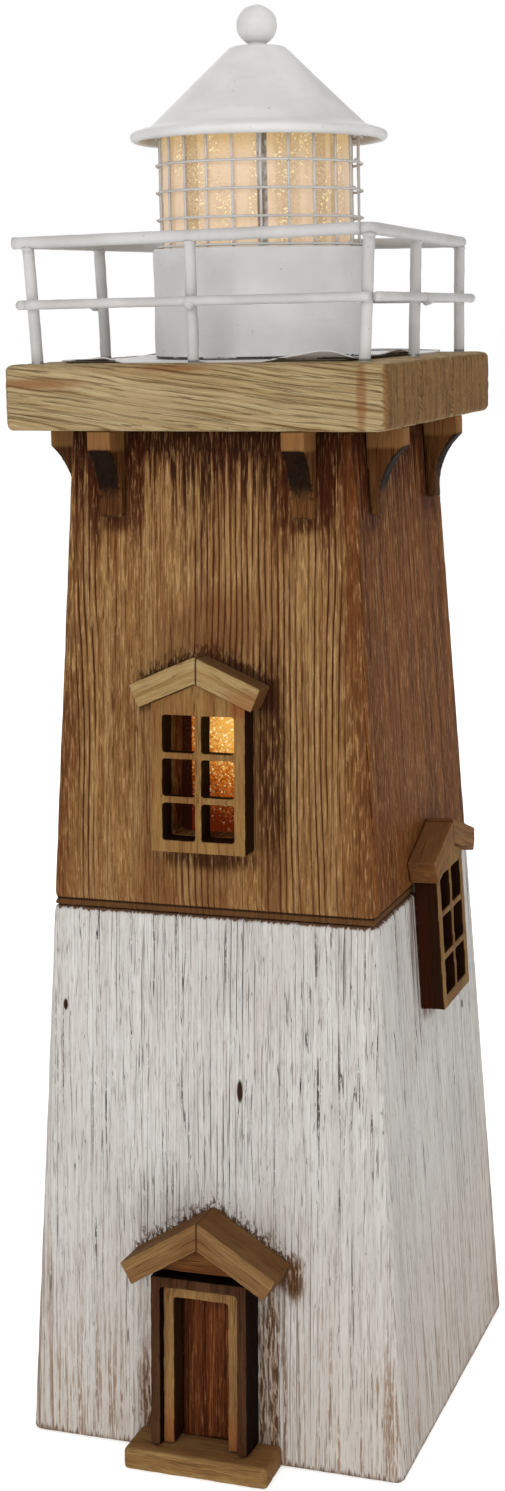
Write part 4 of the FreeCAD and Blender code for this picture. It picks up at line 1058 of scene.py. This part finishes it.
# ------------------------------------------------------------ glazing
# A sheet of warm, pebbled plastic glass is rolled inside the cage, with stained strips
# where it laps over itself. Its glow is painted light, an emission on the sheet for the lamp
# inside, and the glitter's glints are painted highlights.
glazing, w, shader = new_material("lit pebbled glazing")
place = w.add("ShaderNodeTexCoord", output="Object")
centred = w.vector("ADD", place, (-axis.x + 0.0014, -axis.y, -drum_high.z))
angle = w.math("ARCTAN2", w.axis(centred, "Y"), w.axis(centred, "X"))
rise = w.axis(centred, "Z")
glitter = w.group(glitter_group, Place=place, Size=1250.0)
spread = w.add("ShaderNodeCombineXYZ", {0: w.times(angle, 5.0), 1: w.times(rise, 18.0)})
band = w.noise(spread, 1.0, 2.0, 0.5)
sheet = w.mix(w.between(rise, 0.036, 0.052), "DFC3A4", "DAB67C")
sheet = w.mix(w.between(rise, 0.0525, 0.0555, 0.0, 0.7), sheet, "C99440")
sheet = w.mix(w.times(w.between(band, 0.45, 0.62), 0.35), sheet, "C6A47C")
bubbles = w.between(glitter["Relief"], 0.15, 0.55)
for middle, half, strength in ((-1.96, 0.12, 0.75), (-0.53, 0.11, 0.65), (-0.90, 0.16, 0.35),
                               (-2.30, 0.10, 0.35)):
    crowded = w.between(w.apart(angle, middle), half, half * 0.7)
    sheet = w.mix(w.times(w.times(crowded, bubbles), strength), sheet, "A98A5C")
sheet = w.mix(w.times(w.between(glitter["Flake"], 0.2, 0.9), 0.18), sheet, "EFDCC0")
# painted glints on the glitter
sheet = w.mix(w.times(glitter["Glint"], w.between(band, 0.48, 0.60)), sheet, "FFEDB8")
stains = w.between(w.streaks(place, (200.0, 200.0, 120.0), 3.0, 0.6), 0.44, 0.60)
for middle, half, first, second, strength in ((-1.164, 0.058, "A5A09B", "6A5C50", 0.92),
                                              (-2.62, 0.05, "CDBFB0", "5A4A3A", 0.7),
                                              (-0.30, 0.07, "BFA078", "A08258", 0.6)):
    lap = w.between(w.apart(angle, middle), half, half * 0.8)
    sheet = w.mix(w.times(lap, strength), sheet, w.mix(stains, first, second))
w.plug(w.mix(0.45, sheet, "000000"), shader.inputs["Base Color"])
# painted light: the sheet glows, though it is no lamp
w.plug(sheet, shader.inputs["Emission Color"])
shader.inputs["Emission Strength"].default_value = 0.5
shader.inputs["Roughness"].default_value = 0.5
shader.inputs["Specular IOR Level"].default_value = 0.2
w.plug(w.bump(glitter["Relief"], 0.3, 0.0002), shader.inputs["Normal"])
glass_low, glass_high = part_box("lantern_glass")
glass_axis = Vector(((glass_low.x + glass_high.x) / 2, axis.y, 0))
glass_outside, glass_inside = 45.0, 43.0
heights = [(glass_low.z + (glass_high.z - glass_low.z) * i / 10) * 1000 for i in range(11)]
profile = [(glass_outside, z) for z in heights] + [(glass_inside, z) for z in reversed(heights)]
tube = turned_piece(profile, 96, glass_axis)
crisp(new_piece("glazing_sheet", tube, glazing, "tower", ["lantern_glass"]))

# ------------------------------------------------------------ roof and ball
# Spun from sheet steel: a cone over a flared brim with a rolled edge, a flat crown, and a
# collar inside that drops into the glazing. A ball with a short neck is screwed on top.
roof_low, roof_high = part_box("roof")
cone_rise, bead, collar, sheet = 36.4, 2.5, 41.0, 1.2
r = (roof_high.x - roof_low.x) * 500
top_z = roof_high.z * 1000
eave_z = top_z - cone_rise
bead_z = eave_z - 5.5
edge = [(r - bead + bead * math.cos(math.radians(a)), bead_z + bead * math.sin(math.radians(a)))
        for a in range(-150, 61, 21)]
slope = [(50.5 + (13.3 - 50.5) * i / 14, eave_z + cone_rise * i / 14) for i in range(14)]
profile = [(collar - sheet, bead_z - 3.5), (collar, bead_z - 3.5), (collar, bead_z + 12.2),
           (49.6, bead_z + 4.2), (56.2, bead_z + 1.2)]
profile += edge + [(56.0, bead_z + 3.4), (52.6, bead_z + 4.4)] + slope
profile += [(13.6, top_z - 0.5), (12.8, top_z), (0.0, top_z), (0.0, top_z - sheet), (12.6, top_z - sheet),
            (collar - sheet, bead_z + 12.6)]
roof = turned_piece(profile, 128)
for v in roof.verts:
    out = Vector((v.co.x - axis.x, v.co.y - axis.y, 0))
    if out.length > 0.012:
        dent = noise.fractal(v.co * 28, 1.0, 2.0, 3)
        v.co -= out.normalized() * 0.0004 * max(0.0, dent + 0.4)
crisp(new_piece("spun_roof", roof, metal_paint, "roof", ["roof"]), 50)

ball_radius = 0.0097
ball_middle = Vector((axis.x, axis.y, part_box("finial_ball")[1].z - ball_radius))
neck_middle = Vector((axis.x, axis.y, roof_high.z + 0.0015))
ball = bmesh.new()
bmesh.ops.create_uvsphere(ball, u_segments=64, v_segments=40, radius=ball_radius,
                          matrix=Matrix.Translation(ball_middle))
bmesh.ops.create_cone(ball, cap_ends=True, segments=48, radius1=0.0048, radius2=0.0042, depth=0.004,
                      matrix=Matrix.Translation(neck_middle))
new_piece("screwed_ball", finish_rods(ball), metal_paint, "roof", ["finial_ball"])

# ------------------------------------------------------------ pieces inside and below
# Battens, base board, lamps, leads, battery case, switch and screws keep their solids'
# shape, and each gets its own finish: raw pine, moulded plastic, steel, jackets and glass.
def plain_finish(name, first, second, scale, rough, metallic=0.0, bump=0.3, stretch=(1.0, 1.0, 1.0),
                 glow=None):
    material, w, shader = new_material(name)
    place = w.vector("MULTIPLY", w.add("ShaderNodeTexCoord", output="Object"), stretch)
    spread = w.noise(place, scale, 4.0, 0.6)
    colour = w.mix(w.between(spread, 0.35, 0.65), first, second)
    w.plug(colour, shader.inputs["Base Color"])
    w.plug(w.between(spread, 0.3, 0.7, rough - 0.06, rough + 0.08), shader.inputs["Roughness"])
    shader.inputs["Metallic"].default_value = metallic
    w.plug(w.bump(spread, bump, 0.0003), shader.inputs["Normal"])
    if glow:
        w.plug(colour, shader.inputs["Emission Color"])
        shader.inputs["Emission Strength"].default_value = glow
    return material


finishes = {
    "corner_battens": plain_finish("raw pine", "B58E5E", "CBA877", 1.0, 0.7, stretch=(500.0, 500.0, 14.0)),
    "base_board": plain_finish("raw base board", "A98455", "C4A06E", 1.0, 0.7, stretch=(14.0, 500.0, 500.0)),
    "lamp_holder": plain_finish("holder plastic", "D8D5CC", "E2DFD8", 300.0, 0.45),
    "lantern_lamp": plain_finish("lit lamp glass", "FFE2A8", "FFF0CC", 200.0, 0.2, bump=0.05, glow=6.0),
    "window_lamp": plain_finish("lit lamp strip", "FFD890", "FFEAC0", 200.0, 0.3, bump=0.05, glow=3.0),
    "battery_case": plain_finish("black case plastic", "141414", "1C1C1C", 900.0, 0.5),
    "battery_lid": plain_finish("black lid plastic", "161616", "202020", 900.0, 0.48),
    "switch_body": plain_finish("switch plastic", "121212", "1A1A1A", 900.0, 0.45),
    "switch_knob": plain_finish("knob plastic", "0E0E0E", "181818", 900.0, 0.4),
    "battery_cells": plain_finish("cell jacket", "1C4A2A", "2C6A3C", 160.0, 0.3, bump=0.1),
    "battery_contacts": plain_finish("contact steel", "A9A9A6", "C4C4C0", 700.0, 0.3, 1.0),
    "wood_screws": plain_finish("wood screw steel", "9A948A", "B4AEA4", 700.0, 0.35, 1.0),
    "small_screws": plain_finish("small screw steel", "A4A29E", "BCBAB6", 700.0, 0.3, 1.0),
    "lamp_leads": plain_finish("lead jacket", "1E1A18", "2A2522", 400.0, 0.55),
}
for node, finish in finishes.items():
    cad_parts[node].data.materials.clear()
    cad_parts[node].data.materials.append(finish)
